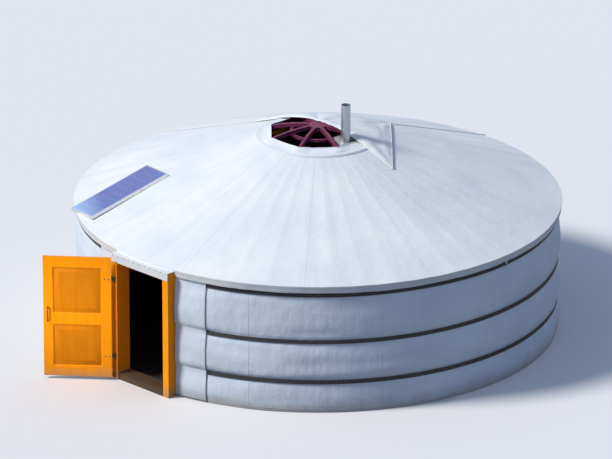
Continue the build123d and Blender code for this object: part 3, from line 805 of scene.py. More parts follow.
@dataclass
class SubAssembly:
    """Base of the sub-assemblies: the tent's main lines, the shared groups, and how a piece is made."""

    form: TentForm
    effects: Effects

    def piece(self, book: MeshBook, name: str, finishes: Sequence[Finish], crease: float = 40.0) -> Thing:
        """Makes a piece.

        Args:
            book: Its points and faces.
            name: Its name.
            finishes: Its finishes, in the order of the faces' kinds.
            crease: Angle in degrees above which an edge stays sharp.

        Returns:
            The new object, linked to the scene.
        """
        mesh = bpy.data.meshes.new(name)
        mesh.from_pydata(book.points, [], book.faces)
        mesh.polygons.foreach_set("material_index", book.kinds)
        mesh.polygons.foreach_set("use_smooth", [True] * len(book.faces))
        mesh.set_sharp_from_angle(angle=math.radians(crease))
        for finish in finishes:
            mesh.materials.append(finish.material(self.effects))
        mesh.update()
        made = bpy.data.objects.new(name, mesh)
        bpy.context.scene.collection.objects.link(made)
        LOG.info("%s: %d faces", name, len(book.faces))
        return made

    @staticmethod
    def declare(made: Thing, slot: str = "", stands_for: str = "", body: Body = Body.TENT) -> None:
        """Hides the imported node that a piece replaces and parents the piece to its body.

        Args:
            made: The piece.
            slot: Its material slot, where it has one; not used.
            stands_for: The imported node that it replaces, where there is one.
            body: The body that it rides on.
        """
        if stands_for:
            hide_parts(stands_for)
        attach(made, body.value)

    def dress(self, name: str, finish: Finish, bevel: float = 0.0, segments: int = 2) -> None:
        """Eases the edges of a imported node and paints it.

        Args:
            name: The node's name.
            finish: Its finish.
            bevel: Width of its eased edges, 0 for none.
            segments: Steps round an eased edge.
        """
        made = frame["nodes"][name]
        made.data.materials.clear()
        made.data.materials.append(finish.material(self.effects))
        made.data.polygons.foreach_set("material_index", [0] * len(made.data.polygons))
        if bevel:
            ease = made.modifiers.new("eased_edges", "BEVEL")
            ease.width, ease.segments, ease.limit_method = bevel, segments, "ANGLE"
            ease.angle_limit, ease.harden_normals = math.radians(35), False
        LOG.info("%s: %s", name, finish.name)


# ---- covers


@dataclass
class FeltLining(SubAssembly):
    """Grey felt behind the lattice and over the poles, as seen from inside the tent."""

    thickness: float = 0.018
    behind_wall: float = 0.018
    joint: float = 0.0008
    roof_joint: float = 0.001
    hem: float = 0.004
    puff: float = 0.002
    roof_puff: float = 0.0015
    roof_sag: float = 0.003
    off_poles: float = 0.002
    columns: int = 73
    rows: int = 20
    roof_columns: int = 289
    roof_rows: int = 26

    def _hang(self, book: MeshBook, side: str, part: str, flat: tuple[float, float], area: float) -> None:
        """Thickens, declares and hangs one felt.

        Args:
            book: Its points and faces.
            side: wall or roof.
            part: The number or word that ends its name.
            flat: Its flat size; not used.
            area: Its flat area; not used.
        """
        made = self.piece(book, f"felt_{side}_{part}", [GREY_FELT])
        thick = made.modifiers.new("thickness", "SOLIDIFY")
        thick.thickness, thick.offset = self.thickness, 0.0
        self.declare(made, "felt", f"{side}_felt_{part}")

    def build(self) -> None:
        """Makes five wall felts and two roof felts."""
        form = self.form
        width = form.cells // form.sections * form.cell
        radius = form.wall_radius - self.behind_wall
        for n in range(form.sections):
            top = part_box(f"wall_felt_{n + 1}")[1].z
            first = form.door_angle + n * width + self.joint
            book, rows = MeshBook(), []
            for height in spaced(self.hem, top - self.hem, self.rows):
                rows.append([
                    polar(
                        radius * form.flat_share(a) + self.puff * wobble(polar(radius, a, height), 5.0, 4.4),
                        a, height,
                    ) for a in spaced(first, first + width - 2 * self.joint, self.columns)
                ])
            book.grid(rows)
            flat = (width * radius, top)
            self._hang(book, "wall", f"{n + 1}", flat, flat[0] * flat[1] * 0.99)
        inner, outer = form.crown_radius + 0.003, form.wall_radius - 0.004
        depth = (form.cover_depth + form.felt_thickness - self.thickness / 2 - self.off_poles) / math.cos(form.slope)
        for name, first in (("front", -math.pi / 2), ("back", math.pi / 2)):
            book, rows = MeshBook(), []
            for r in spaced(inner, outer, self.roof_rows):
                row = []
                for angle in spaced(first + self.roof_joint, first + math.pi - self.roof_joint, self.roof_columns):
                    across, half = form.between_poles(angle)
                    fall = (form.fall_between(r, half) + self.roof_sag) * (1 - across**2)
                    puff = self.roof_puff * wobble(polar(r, angle), 4.0, 8.8)
                    row.append(polar(r, angle, form.roof_height(r) - depth - fall + puff))
                rows.append(row)
            book.grid(rows)
            area = math.pi / 2 * (outer + inner) * (outer - inner) / math.cos(form.slope)
            slant = outer / math.cos(form.slope)
            self._hang(book, "roof", name, (2 * slant, slant), area)


@dataclass
class WallCover(SubAssembly):
    """White wall canvas: slack between the belts, drawn in under them, with seams and a hem."""

    belts: tuple[float, ...]
    top: float = 1.552
    cut_height: float = 1.62
    bulge: float = 0.036
    pucker: float = 0.006
    columns: int = 560
    rows_between: int = 17
    panels: int = 11
    tape: float = 0.016
    seam_rise: float = 0.0019
    hem_rise: float = 0.0022
    hems: Profile = ((0.001, 0.036), (0.040, 0.044))
    grip: float = 0.026
    roll: float = 0.0075
    drag: float = 0.0030
    inset: float = 0.0012

    @property
    def edge(self) -> float:
        """Angle of the cover's edge beside a jamb."""
        return math.asin((self.form.frame_half + 0.0005) / self.form.wall_radius)

    def slack(self, angle: float, height: float) -> float:
        """Measures how far the cloth stands out from the wall's radius.

        Args:
            angle: The angle from the doorway's middle.
            height: The height above the ground.

        Returns:
            The distance: a slow swell between two belts, with folds, rolls and drag lines.
        """
        radius = self.form.wall_radius
        lines = (0.0, *self.belts, self.top)
        zone = max(i for i in range(len(lines) - 1) if height >= lines[i] - 1e-6)
        low = lines[zone] + (self.grip if zone else 0.0)
        high = lines[zone + 1] - (self.grip if zone < len(self.belts) else 0.0)
        share = limited((height - low) / (high - low))
        if zone == 0:
            swell = math.sin(math.pi * min(0.12 + 0.88 * share, 1.0)) ** 0.8 * 0.55
        elif zone == len(self.belts):
            swell = 0.35 * share
        else:
            swell = math.sin(math.pi * share**0.62) ** 0.8
        level = polar(radius, angle, 3.1 * zone)
        full = 0.80 + 0.32 * wobble(level, 0.7, 3.3) + 0.22 * wobble(level, 2.3, 8.1)
        at = polar(radius, angle, height)
        near = max(min(abs(height - belt) for belt in self.belts) - self.grip, 0.0)
        drawn = math.exp(-near / 0.13) * (1 - math.exp(-near / 0.012))
        folds = self.pucker * drawn * wobble(at, 9.5, 1.2, 0.12)
        rolls = self.roll * wobble(at, 1.3, 5.4, 6.0) * min(1.0, near / 0.06)
        drags = self.drag * wobble(polar(radius, angle + 0.12 * height, height), 4.5, 2.6, 0.35)
        return self.bulge * full * swell + folds + (rolls + drags) * min(1.0, near / 0.04)

    def at(self, angle: float, height: float, out: float = 0.0) -> Vector:
        """Point on the cloth, or a little out from it."""
        return polar(self.form.wall_radius - self.inset + self.slack(angle, height) + out, angle, height)

    def heights(self) -> list[float]:
        """Finds the heights of the mesh's rows.

        Returns:
            The heights, closer together near the belts.
        """
        edges = [belt + side * self.grip for belt in self.belts for side in (-1, 1)]
        lines = (0.0, *edges, self.top)
        found = [0.0]
        for low, high in zip(lines, lines[1:]):
            for share in spaced(0, 1, self.rows_between if high - low > 0.2 else 4)[1:]:
                found.append(low + (high - low) * (0.5 - 0.5 * math.cos(math.pi * share) + share) / 2)
        return found

    def build(self) -> None:
        """Makes the cover with its seam tapes and its hem."""
        book = MeshBook()
        angles = spaced(self.edge, TURN - self.edge, self.columns)
        heights = self.heights()
        book.grid([[self.at(a, h) for a in angles] for h in heights])
        width = TURN - 2 * self.edge
        seam = tape(self.tape / 2 / self.form.wall_radius, self.seam_rise)
        for n in range(1, self.panels):
            middle = self.edge + (n - 0.4) * width / self.panels
            book.grid([[self.at(middle + a, h, out) for a, out in seam] for h in heights], kind=1)
        for low, high in self.hems:
            hem = band(low, high, self.hem_rise)
            book.grid([[self.at(a, h, out) for a in angles] for h, out in hem], kind=1)
        made = self.piece(book, "wall_canvas", [CANVAS_PAINTED_SKY_TINT, SEAM_TAPE])
        self.declare(made, "canvas", "wall_cover")


@dataclass
class RoofCover(SubAssembly):
    """White roof canvas: tight over the poles, with a short skirt cut away over the doorway."""

    head_top: float
    sag: float = 0.0045
    drop: float = 0.085
    lean: float = 0.012
    cut_half: float = 0.475
    columns: int = 686
    gores: int = 12
    tape: float = 0.018
    seam_rise: float = 0.0018
    lift: float = 0.0004
    lap_rise: float = 0.0048
    skirt_band: tuple[float, float, float] = (0.66, 1.01, 0.0016)
    fold_back: float = 0.0035
    neck_cord: float = 0.0075
    hem_cord: float = 0.0045
    head_half: float = 0.468
    head_front: float = -2.960
    head_bottom: float = 1.464
    head_lap: float = 0.190
    lap_to: float = math.radians(100)
    hem_radius: float = 0.600
    spokes: int = 8

    def height(self, radius: float, angle: float) -> float:
        """Measures the height of the cloth, which dips between the poles.

        Args:
            radius: The distance from the axis.
            angle: The angle from the doorway's middle.

        Returns:
            The height.
        """
        form = self.form
        across, half = form.between_poles(angle)
        at = polar(radius, angle)
        span = limited((radius - form.crown_radius) / (form.eave_radius - form.crown_radius))
        loose = self.sag * (0.75 + 0.6 * wobble(at, 0.55, 4.2)) * math.sin(math.pi * span) ** 0.5
        dip = form.fall_between(radius, half) + max(loose, 0.0) * radius / form.eave_radius
        fine = 0.0011 * wobble(at, 5.0, 6.6) + 0.0008 * wobble(at, 13.0, 9.1)
        return form.roof_height(radius) + self.lift + (fine - dip) * (1 - across**2)

    def at(self, radius: float, angle: float, out: float = 0.0) -> Vector:
        """Point on the cloth, or a little above it."""
        return polar(radius, angle, self.height(radius, angle) + out)

    def eave(self, angle: float) -> Vector:
        """Point on the rounded edge where the roof turns down."""
        return self.at(self.form.eave_radius, angle, -0.0012) + polar(0.002, angle)

    def skirt(self, share: float, angle: float, out: float = 0.0) -> Vector:
        """Finds a point on the skirt.

        Args:
            share: Its way down, from the eave at 0 to the hem at 1.
            angle: The angle from the doorway's middle.
            out: How far it stands out from the cloth.

        Returns:
            The point.
        """
        eave = self.form.eave_radius
        at = polar(eave, angle)
        wave = (0.0055 * wobble(at, 3.4, 2.2) + 0.003 * wobble(at, 8.0, 7.7)) * share
        drop = self.drop * (1 + 0.07 * wobble(at, 1.1, 5.0))
        fall = 0.004 + (drop - 0.004) * share
        return polar(eave - self.lean * share + 0.004 + wave + out, angle, self.height(eave, angle) - fall)

    def hoop_lap(self, share: float, angle: float) -> Vector:
        """Finds a point of the lap over the crown's hoop.

        Args:
            share: Its way in, from the hoop's top at 0 to the hem at 1.
            angle: The angle from the doorway's middle.

        Returns:
            The point: on the wood over a spoke, slack between two spokes.
        """
        form = self.form
        across = 2 * ((angle * self.spokes / TURN - 0.5) % 1.0) - 1
        half = math.pi / self.spokes
        hem = self.hem_radius * math.cos(half) / math.cos(across * half)
        start = form.crown_radius - 0.030
        radius = start + (hem - start) * share
        on_spoke = limited((abs(across) - 0.25) / 0.65) ** 2
        wood = form.ring_top + (form.dome_height(radius) - form.ring_top) * limited((0.680 - radius) / 0.016)
        hem_top = form.dome_height(self.hem_radius) - 0.004
        loose = form.ring_top + (hem_top - form.ring_top) * share - 0.006 * math.sin(math.pi * share)
        loose += 0.003 * wobble(polar(radius, angle), 9.0, 3.1) * share
        return polar(radius, angle, loose + max(wood - loose, 0.0) * on_spoke + self.lap_rise)

    def _lap_over_hoop(self, book: MeshBook) -> None:
        """Adds the roof's inner edge, drawn over the hoop as far as the crown is open, with a corded hem.

        Args:
            book: The roof's points and faces.
        """
        form = self.form
        angles = spaced(-self.lap_to, self.lap_to, 201)
        edge, top = form.crown_radius, form.ring_top
        profile = (
            (edge + 0.0045, form.roof_height(edge + 0.0045) + self.lift), (edge + 0.003, top - 0.004),
            (edge + 0.0005, top + 0.0035), (edge - 0.006, top + self.lap_rise),
        )
        rows = [[polar(radius, a, height) for a in angles] for radius, height in profile]
        rows += [[self.hoop_lap(share, a) for a in angles] for share in spaced(0, 1, 14)]
        book.grid(rows)
        book.tube([self.hoop_lap(1.0, a) + UP * 0.001 for a in angles], self.hem_cord, 8, kind=1)

    def _lap_over_head(self, book: MeshBook) -> None:
        """Adds the roof's edge over the doorway, drawn over the door head and down its face.

        Args:
            book: The roof's points and faces.
        """
        across = spaced(-self.head_half, self.head_half, 61)
        top, front, eave = self.head_top + 0.0012, self.head_front, self.form.eave_radius
        rows = []
        for out, height in ((0.0, 0.020), (0.001, 0.008), (0.004, 0.002)):
            rows.append([polar(eave + 0.002 + out, math.asin(1.014 * x / eave), top + height) for x in across])
        for y in (front + 0.030, front + 0.008):
            rows.append([Vector((x, y, top + 0.0008 * wobble(Vector((x, y, 1.0)), 9.0, 2.0))) for x in across])
        rows.append([Vector((x, front - 0.0010, top - 0.0006)) for x in across])
        for height in spaced(self.head_top - 0.004, self.head_bottom, 9):
            ripples = [0.0008 * wobble(Vector((x, 0.0, height)), 12.0, 5.0, 0.3) for x in across]
            rows.append([Vector((x, front - 0.0020 - ripple, height)) for x, ripple in zip(across, ripples)])
        book.grid(rows)
        hem = ((-0.0008, 0.0), (-0.0030, 0.0), (-0.0030, 0.020), (-0.0008, 0.020))
        book.grid([[Vector((x, front + out, self.head_bottom + rise)) for x in across] for out, rise in hem], kind=1)

    def build(self) -> None:
        """Makes the roof with its skirt, hems and seams."""
        book, form = MeshBook(), self.form
        ring = around(self.columns)
        inner = form.crown_radius + 0.004
        radii = spaced(inner, form.eave_radius - 0.012, 34) + [form.eave_radius - 0.005]
        book.grid([[self.at(r, a) for a in ring] for r in radii] + [[self.eave(a) for a in ring]], closed=True)
        cut = math.asin(self.cut_half / form.eave_radius)
        angles = spaced(cut, TURN - cut, self.columns)
        folded = [(share, 0.0) for share in spaced(0, 1, 9)] + [(1.0, -self.fold_back), (0.7, -self.fold_back)]
        book.grid([[self.eave(a) for a in angles]] + [[self.skirt(s, a, out) for a in angles] for s, out in folded])
        book.grid([[self.skirt(s, a, out) for a in angles] for s, out in band(*self.skirt_band)], kind=1)
        over_door = spaced(-cut, cut, 61)
        lip = [polar(form.eave_radius + 0.002, a, self.head_top + 0.0212) for a in over_door]
        book.grid([[self.eave(a) for a in over_door], lip])
        self._lap_over_head(book)
        self._lap_over_hoop(book)
        book.tube([self.at(inner + 0.006, a, 0.003) for a in ring[::3]], self.neck_cord, closed=True, kind=1)
        seam = tape(self.tape / 2, self.seam_rise)
        for n in range(self.gores):
            middle = TURN * (n + 0.37) / self.gores
            book.grid([[self.at(r, middle + d / r, out) for d, out in seam] for r in radii], kind=1)
        made = self.piece(book, "roof_canvas_sheet", [ROOF_CANVAS, SEAM_TAPE], 60)
        slant = (form.eave_radius - inner) / math.cos(form.slope)
        area = math.pi * (form.eave_radius + inner) * slant + (TURN - 2 * cut) * form.eave_radius * self.drop
        area += self.lap_to * (inner**2 - self.hem_radius**2) + 2 * self.head_half * self.head_lap
        self.declare(made, "canvas", "roof_cover")


@dataclass
class CoverStrip(SubAssembly):
    """End strip of the canvas that laps over the belt ends beside the doorway."""

    wall: WallCover
    side: int
    stand: float = 0.0155
    tape: float = 0.024
    tape_rise: float = 0.0018
    near_tape: float = 0.002
    far_tape: float = 0.026
    turned_in: float = 0.006
    columns: int = 26

    def at(self, x: float, height: float, out: float = 0.0) -> Vector:
        """Finds a point on the strip.

        Args:
            x: Its distance from the doorway's middle.
            height: Its height.
            out: How far it stands out from the cloth.

        Returns:
            The point.
        """
        base = self.form.wall_radius + self.stand
        angle = math.asin(x / base) * self.side
        soft = 0.002 * wobble(polar(self.form.wall_radius, angle, height), 6.0, 3.9, 0.5)
        return polar(base + 0.9 * self.wall.slack(angle, height) + soft + out, angle, height)

    def build(self) -> None:
        """Makes the strip with a tape along each long edge."""
        name = "left" if self.side < 0 else "right"
        low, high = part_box(f"cover_strip_{name}")
        near, far = sorted((abs(low.x), abs(high.x)))
        bottom, top = low.z, high.z
        book = MeshBook()
        heights = [bottom, *(h for h in self.wall.heights() if bottom < h < top), top]
        book.grid([[self.at(x, h) for x in spaced(near, far, self.columns)] for h in heights])
        for edge in (near + self.near_tape, far - self.far_tape):
            stripe = band(edge, edge + self.tape, self.tape_rise)
            book.grid([[self.at(x, h, out) for x, out in stripe] for h in heights], kind=1)
        book.grid([[self.at(far, h, out) for out in (0.0, -self.turned_in)] for h in heights], kind=1)
        made = self.piece(book, f"canvas_strip_{name}", [CANVAS_PAINTED_SKY_TINT, SEAM_TAPE])
        self.declare(made, "canvas", f"cover_strip_{name}")


@dataclass
class Belt(SubAssembly):
    """Four hair cords side by side, drawn round the wall from jamb to jamb."""

    wall: WallCover
    name: str
    cords: int = 4
    cord_radius: float = 0.0066
    stand: float = 0.0057
    spread: float = 1.15
    wander: float = 0.003
    step: float = 0.011
    pitch: float = 0.06

    def build(self) -> None:
        """Makes the belt."""
        low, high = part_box(f"belt_{self.name}")
        middle = (low.z + high.z) / 2
        spacing = self.spread * (high.z - low.z) / self.cords
        radius = self.form.wall_radius + self.stand
        edge = self.wall.edge
        count = int((TURN - 2 * edge) * radius / self.step)
        book = MeshBook()
        for n in range(self.cords):
            level = middle + (n - (self.cords - 1) / 2) * spacing
            path = [
                polar(radius, a, level + self.wander * wobble(polar(radius, a), 0.9, 2.0 + middle))
                for a in spaced(edge, TURN - edge, count)
            ]
            twist = (1 if n % 2 else -1) * TURN * self.step / self.pitch
            book.tube(path, self.cord_radius, 6, twist=twist, lobes=2)
        made = self.piece(book, f"cord_belt_{self.name}", [DARK_HAIR], 80)
        self.declare(made, "belt", f"belt_{self.name}")


@dataclass
class CrownFlap(SubAssembly):
    """Square crown cloth folded on its diagonal over the rear of the crown, with its ropes."""

    belt_top: float
    fold_y: float = 0.085
    half: float = 1.150
    point_y: float = 1.240
    layer: float = 0.009
    between_spokes: float = 0.018
    pull: float = 0.013
    roll: float = 0.010
    rope: float = 0.0055
    edge_rope: float = 0.0045
    eye: float = 0.016
    knots: Profile = ((0.0, 0.015), (0.022, 0.012))

    def support(self, x: float, y: float) -> float:
        """Measures the height of what the cloth lies on.

        Args:
            x: Place to the side of the axis.
            y: Place behind the axis.

        Returns:
            The height of the dome, hoop or roof, a little lower between two spokes.
        """
        radius, angle = math.hypot(x, y), math.atan2(x, -y)
        edge = self.form.crown_radius
        if radius > edge:
            blend = min((radius - edge) / 0.06, 1.0)
            roof = self.form.roof_height(radius) + 0.002
            return roof + (1 - blend) * (self.form.ring_top - self.form.roof_height(edge)) * 0.9
        across = ((angle / (math.pi / 4)) % 1.0) * 2 - 1
        return self.form.dome_height(radius) - self.between_spokes * math.sin(math.pi * radius / edge) * across**2

    def surface(self, s: float, t: float, layer: float) -> Vector:
        """Finds a point of the folded cloth.

        Args:
            s: Its way from corner to corner, -1 to 1.
            t: Its way from the fold at 0 to the point at 1.
            layer: 0 for the lower layer, 1 for the upper one.

        Returns:
            The point.
        """
        x = s * self.half * (1 - t)
        y = self.fold_y + t * (self.point_y - self.fold_y)
        at = Vector((x, y, 0.0))
        edge = min(1.0, (1 - abs(s)) * (1 - t) * 9, t * 12 + 0.35)
        creases = 0.008 * wobble(Vector((x * 0.5, y, 0.3)), 5.2, 1.9) + 0.004 * wobble(at, 11.0, 4.1)
        pulls = 0.0
        for corner in ((self.half, self.fold_y), (-self.half, self.fold_y), (0, self.point_y)):
            gap = Vector((x, y)) - Vector(corner)
            away = math.exp(-(((gap.length - 0.42) / 0.34) ** 2))
            fan = math.sin(13.0 * math.atan2(gap.y, gap.x) + 2.0 * wobble(at, 2.0, 7.0))
            pulls += self.pull * away * (0.5 + 0.5 * fan)
        edge_roll = self.roll * math.exp(-(((t - 0.035) / 0.03) ** 2)) * min(1.0, (1 - abs(s)) * 4)
        rise = 0.004 + layer * (self.layer + 0.004 * edge + edge_roll)
        lift = (max(creases, -0.004) + pulls) * (0.25 + 0.75 * edge) * (0.45 + 0.55 * layer)
        return Vector((x, y, self.support(x, y) + rise + lift + 0.003 * layer))

    def build(self) -> None:
        """Makes the folded cloth with its edge ropes, and the ropes from its corners."""
        book = MeshBook()
        across, down = spaced(-1, 1, 131), spaced(0, 0.999, 60)
        rows = [[self.surface(s, t, 0.0) for s in across] for t in reversed(down)]
        for back, share in ((0.006, 0.15), (0.010, 0.5), (0.006, 0.85)):
            under = [self.surface(s, 0.0, 0.0).lerp(self.surface(s, 0.0, 1.0), share) for s in across]
            rows.append([point + FORWARD * back for point in under])
        rows += [[self.surface(s, t, 1.0) for s in across] for t in down]
        book.grid(rows)
        for layer in (0.0, 1.0):
            for side in (-1, 1):
                reach = side * (1 - 0.004 * layer)
                path = [self.surface(reach, t, layer) + UP * 0.001 for t in spaced(0, 1, 70)]
                book.tube(path, self.edge_rope, 6, twist=0.7, lobes=2, kind=1)
        cloth = self.piece(book, "crown_cloth", [ROOF_CANVAS, SEAM_TAPE], 60)
        side = math.hypot(self.half, self.point_y - self.fold_y)
        self.declare(cloth, "canvas", "crown_flap")
        ropes = MeshBook()
        angle, corner = math.atan2(self.half, -self.fold_y), math.hypot(self.half, self.fold_y)
        for turn, start in ((angle, corner), (TURN - angle, corner), (math.pi, self.point_y)):
            self._rope(ropes, turn, start)
        self.declare(self.piece(ropes, "crown_cloth_ropes", [PALE_ROPE], 80), "rope", "flap_ropes")

    def _rope(self, book: MeshBook, angle: float, start: float) -> None:
        """Adds one taut rope from a corner to the upper belt, with an eye, two knots and a tail.

        Args:
            book: The ropes' points and faces.
            angle: The rope's angle from the doorway's middle.
            start: The corner's distance from the axis.
        """
        form = self.form
        side = polar(1.0, angle + math.pi / 2)
        top = polar(start - 0.015, angle, form.roof_height(start) + 0.014)
        over = polar(form.eave_radius + 0.004, angle, form.eave_height + 0.007)
        bend = polar(form.eave_radius + 0.011, angle, form.eave_height - 0.006)
        end = polar(form.wall_radius + 0.016, angle, self.belt_top + 0.006)
        path = [top.lerp(over, share) for share in spaced(0, 1, 200)]
        path += [over.lerp(bend, 0.5) + polar(0.002, angle, 0.001), bend]
        path += [bend.lerp(end, share) for share in spaced(0, 1, 14)[1:]]
        book.tube(path, self.rope, 8, twist=TURN / 6, lobes=3)
        eye = [top + Vector((self.eye * math.cos(a), self.eye * math.sin(a), 0.001)) for a in around(18)]
        book.tube(eye, self.rope * 0.8, 8, closed=True, twist=0.6, lobes=3)
        for drop, size in self.knots:
            centre, knot = end - UP * drop, []
            for a in around(32):
                reach = size * (0.72 + 0.28 * math.cos(3 * a))
                level = centre + side * (reach * math.cos(2 * a)) + UP * (reach * math.sin(2 * a))
                knot.append(level + polar(0.005 * math.sin(3 * a), angle))
            book.tube(knot, self.rope * 0.75, 7, closed=True, twist=0.5, lobes=3)
        tail = [end - UP * (0.02 + 0.006 * i) + side * 0.004 * math.sin(i / 2) for i in range(14)]
        book.tube(tail, self.rope * 0.8, 7, twist=0.6, lobes=3)


# ---- wood and iron


@dataclass
class WoodFrame(SubAssembly):
    """Packed wooden pieces, dressed: eased edges, paint, lattice thongs, pole ties, pegs and tacks."""

    foot: float = 0.070
    row: float = 0.3551
    rows: int = 4
    spokes: int = 8
    thong: tuple[float, float] = (0.010, 0.006)
    crown_peg: tuple[float, float] = (0.007, 0.003)
    frame_peg: tuple[float, float] = (0.009, 0.003)
    tack: tuple[float, float] = (0.0065, 0.0018)
    tack_count: int = 11
    tack_span: float = 0.44
    peg_rings: tuple[float, ...] = (0.340, 0.300, 0.075)
    tie_cord: float = 0.0035
    tie_half: float = 0.027

    def build(self) -> None:
        """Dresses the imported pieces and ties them."""
        for n in range(1, self.form.sections + 1):
            self.dress(f"lattice_wall_{n}", LATTICE_STAIN, 0.0015, 1)
            self.dress(f"roof_poles_{n}", POLE_ORANGE, 0.004)
        for names, finish, bevel in (
            ("roof_poles_over_door", POLE_ORANGE, 0.004),
            ("crown_ring crown_spokes", CROWN_MAROON, 0.003),
            ("crown_inner_ring", CROWN_MAROON, 0.004),
            ("crown_post_left crown_post_right", POLE_ORANGE, 0.006),
            ("door_jamb_left door_jamb_right door_head", DOOR_ORANGE, 0.005),
            ("door_sill", DARK_SILL, 0.006),
            ("door_leaf", DOOR_ORANGE, 0.003),
            ("hinge_pins hinge_straps door_pulls", BLACK_IRON, 0.0012),
        ):
            for name in names.split():
                self.dress(name, finish, bevel)
        self.thongs()
        self.pole_ties()
        self.pegs()

    def thongs(self) -> None:
        """Adds a rawhide knot on every lattice crossing."""
        form, book = self.form, MeshBook()
        for half_step in range(2 * form.cells + 1):
            angle = form.door_angle + half_step * form.cell / 2
            odd = half_step % 2
            radius = form.lattice_inside * form.flat_share(angle)
            for n in range(self.rows if odd else self.rows + 1):
                height = self.foot + (n + odd / 2) * self.row
                book.dome(polar(radius, angle, height), polar(-1.0, angle), *self.thong, 8)
        self.declare(self.piece(book, "lattice_thongs", [THONG]))

    def pole_ties(self) -> None:
        """Adds a hair loop round each pole's lower end and the lattice head under it."""
        form, book = self.form, MeshBook()
        for angle in form.pole_angles[form.door_poles:]:
            centre = polar(form.lattice_inside - 0.006, angle, form.roof_height(form.lattice_inside) - 0.074)
            side, rise = polar(1.0, angle + math.pi / 2), polar(-0.010, angle, 0.036)
            loop = [centre + side * self.tie_half * math.cos(a) + rise * math.sin(a) for a in around(20)]
            book.tube(loop, self.tie_cord, 6, closed=True, twist=0.5, lobes=2)
        self.declare(self.piece(book, "pole_ties", [DARK_HAIR], 80))

    def pegs(self) -> None:
        """Adds peg heads in the crown and the door frame, and the tacks of the canvas over the head."""
        form = self.form
        crown, jambs, tacks = MeshBook(), MeshBook(), MeshBook()
        for n in range(self.spokes):
            angle = TURN * (n + 0.5) / self.spokes
            for radius in self.peg_rings if math.cos(angle) >= 0 else self.peg_rings[-1:]:
                crown.dome(polar(radius, angle, form.dome_height(radius) - 0.0004), UP, *self.crown_peg, 9)
        low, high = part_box("door_head")
        for x in (0.045 - form.frame_half, form.frame_half - 0.045):
            for height in (low.z - 0.04, 0.05):
                jambs.dome(Vector((x, low.y, height)), FORWARD, *self.frame_peg, 10)
        for x in spaced(-self.tack_span, self.tack_span, self.tack_count):
            tacks.dome(Vector((x, low.y - 0.0022, high.z - 0.012)), FORWARD, *self.tack, 9)
        self.declare(self.piece(crown, "crown_pegs", [POLE_ORANGE]))
        self.declare(self.piece(jambs, "frame_pegs", [PANEL_ORANGE]))
        self.declare(self.piece(tacks, "canvas_tacks", [BLACK_IRON]))


@dataclass
class DoorLeaf(SubAssembly):
    """Details of the door leaf, laid out as if it were closed and swung open with it."""

    pin: Vector
    opened: float = math.radians(-140)
    width: float = 0.800
    thickness: float = 0.034
    stile: float = 0.105
    recess: float = 0.010
    bays: tuple[tuple[float, float], ...] = ((0.160, 0.700), (0.820, 1.415))
    strap_heights: tuple[float, ...] = (0.300, 1.270)
    strap: float = 0.005
    bolt_places: tuple[float, ...] = (0.045, 0.09, 0.21)
    bolt: tuple[float, float] = (0.0075, 0.004)
    nut: tuple[float, float] = (0.0085, 0.005)
    field: Profile = ((0.000, 0.0005), (0.030, 0.0015), (0.033, 0.0030), (0.075, 0.0075), (0.078, 0.0085))
    bead: Profile = ((0.000, 0.0095), (0.004, 0.0098), (0.009, 0.0085), (0.013, 0.0050), (0.0145, 0.0005))

    def swing(self, x: float, y: float, z: float) -> Vector:
        """A point of the closed leaf, turned to its open place."""
        return Matrix.Rotation(self.opened, 3, "Z") @ (Vector((x, y, z)) - self.pin) + self.pin

    def _rings(self, profile: Profile, bay: tuple[float, float], sign: int) -> Rows:
        """Draws a profile round a sunk bay of the leaf.

        Args:
            profile: Pairs of the way in from the bay's edge and the rise from its floor.
            bay: The bay's lower and upper height.
            sign: -1 for the outer face, 1 for the inner one.

        Returns:
            One ring of four corners for each pair.
        """
        floor = self.pin.y + (self.thickness if sign > 0 else 0.0) - sign * self.recess
        rings = []
        for inset, rise in profile:
            side, low, high = self.width / 2 - self.stile - inset, bay[0] + inset, bay[1] - inset
            corners = ((-side, low), (side, low), (side, high), (-side, high))
            rings.append([self.swing(x, floor + sign * rise, z) for x, z in corners])
        return rings

    def build(self) -> None:
        """Makes the raised panels, their mouldings and the ironwork's bolts."""
        outer, inner = self.pin.y, self.pin.y + self.thickness
        panels, mouldings, bolts = MeshBook(), MeshBook(), MeshBook()
        for sign in (-1, 1):
            for bay in self.bays:
                field = self._rings(self.field, bay, sign)
                panels.grid(field, closed=True)
                panels.cap(field[-1])
                mouldings.grid(self._rings(self.bead, bay, sign), closed=True)
        out = Matrix.Rotation(self.opened, 3, "Z") @ FORWARD
        for z in self.strap_heights:
            for reach in self.bolt_places:
                bolts.dome(self.swing(self.pin.x + reach, outer - self.strap, z), out, *self.bolt, 9)
            for reach in self.bolt_places[:2]:
                bolts.dome(self.swing(self.pin.x + reach, inner, z), -out, *self.nut, 9)
        for name, book, finish, slot in (
            ("door_panels", panels, PANEL_ORANGE, "door_paint"),
            ("door_mouldings", mouldings, DOOR_ORANGE, "door_paint"),
            ("door_bolts", bolts, BLACK_IRON, "iron"),
        ):
            self.declare(self.piece(book, name, [finish], 25), slot, body=Body.DOOR)


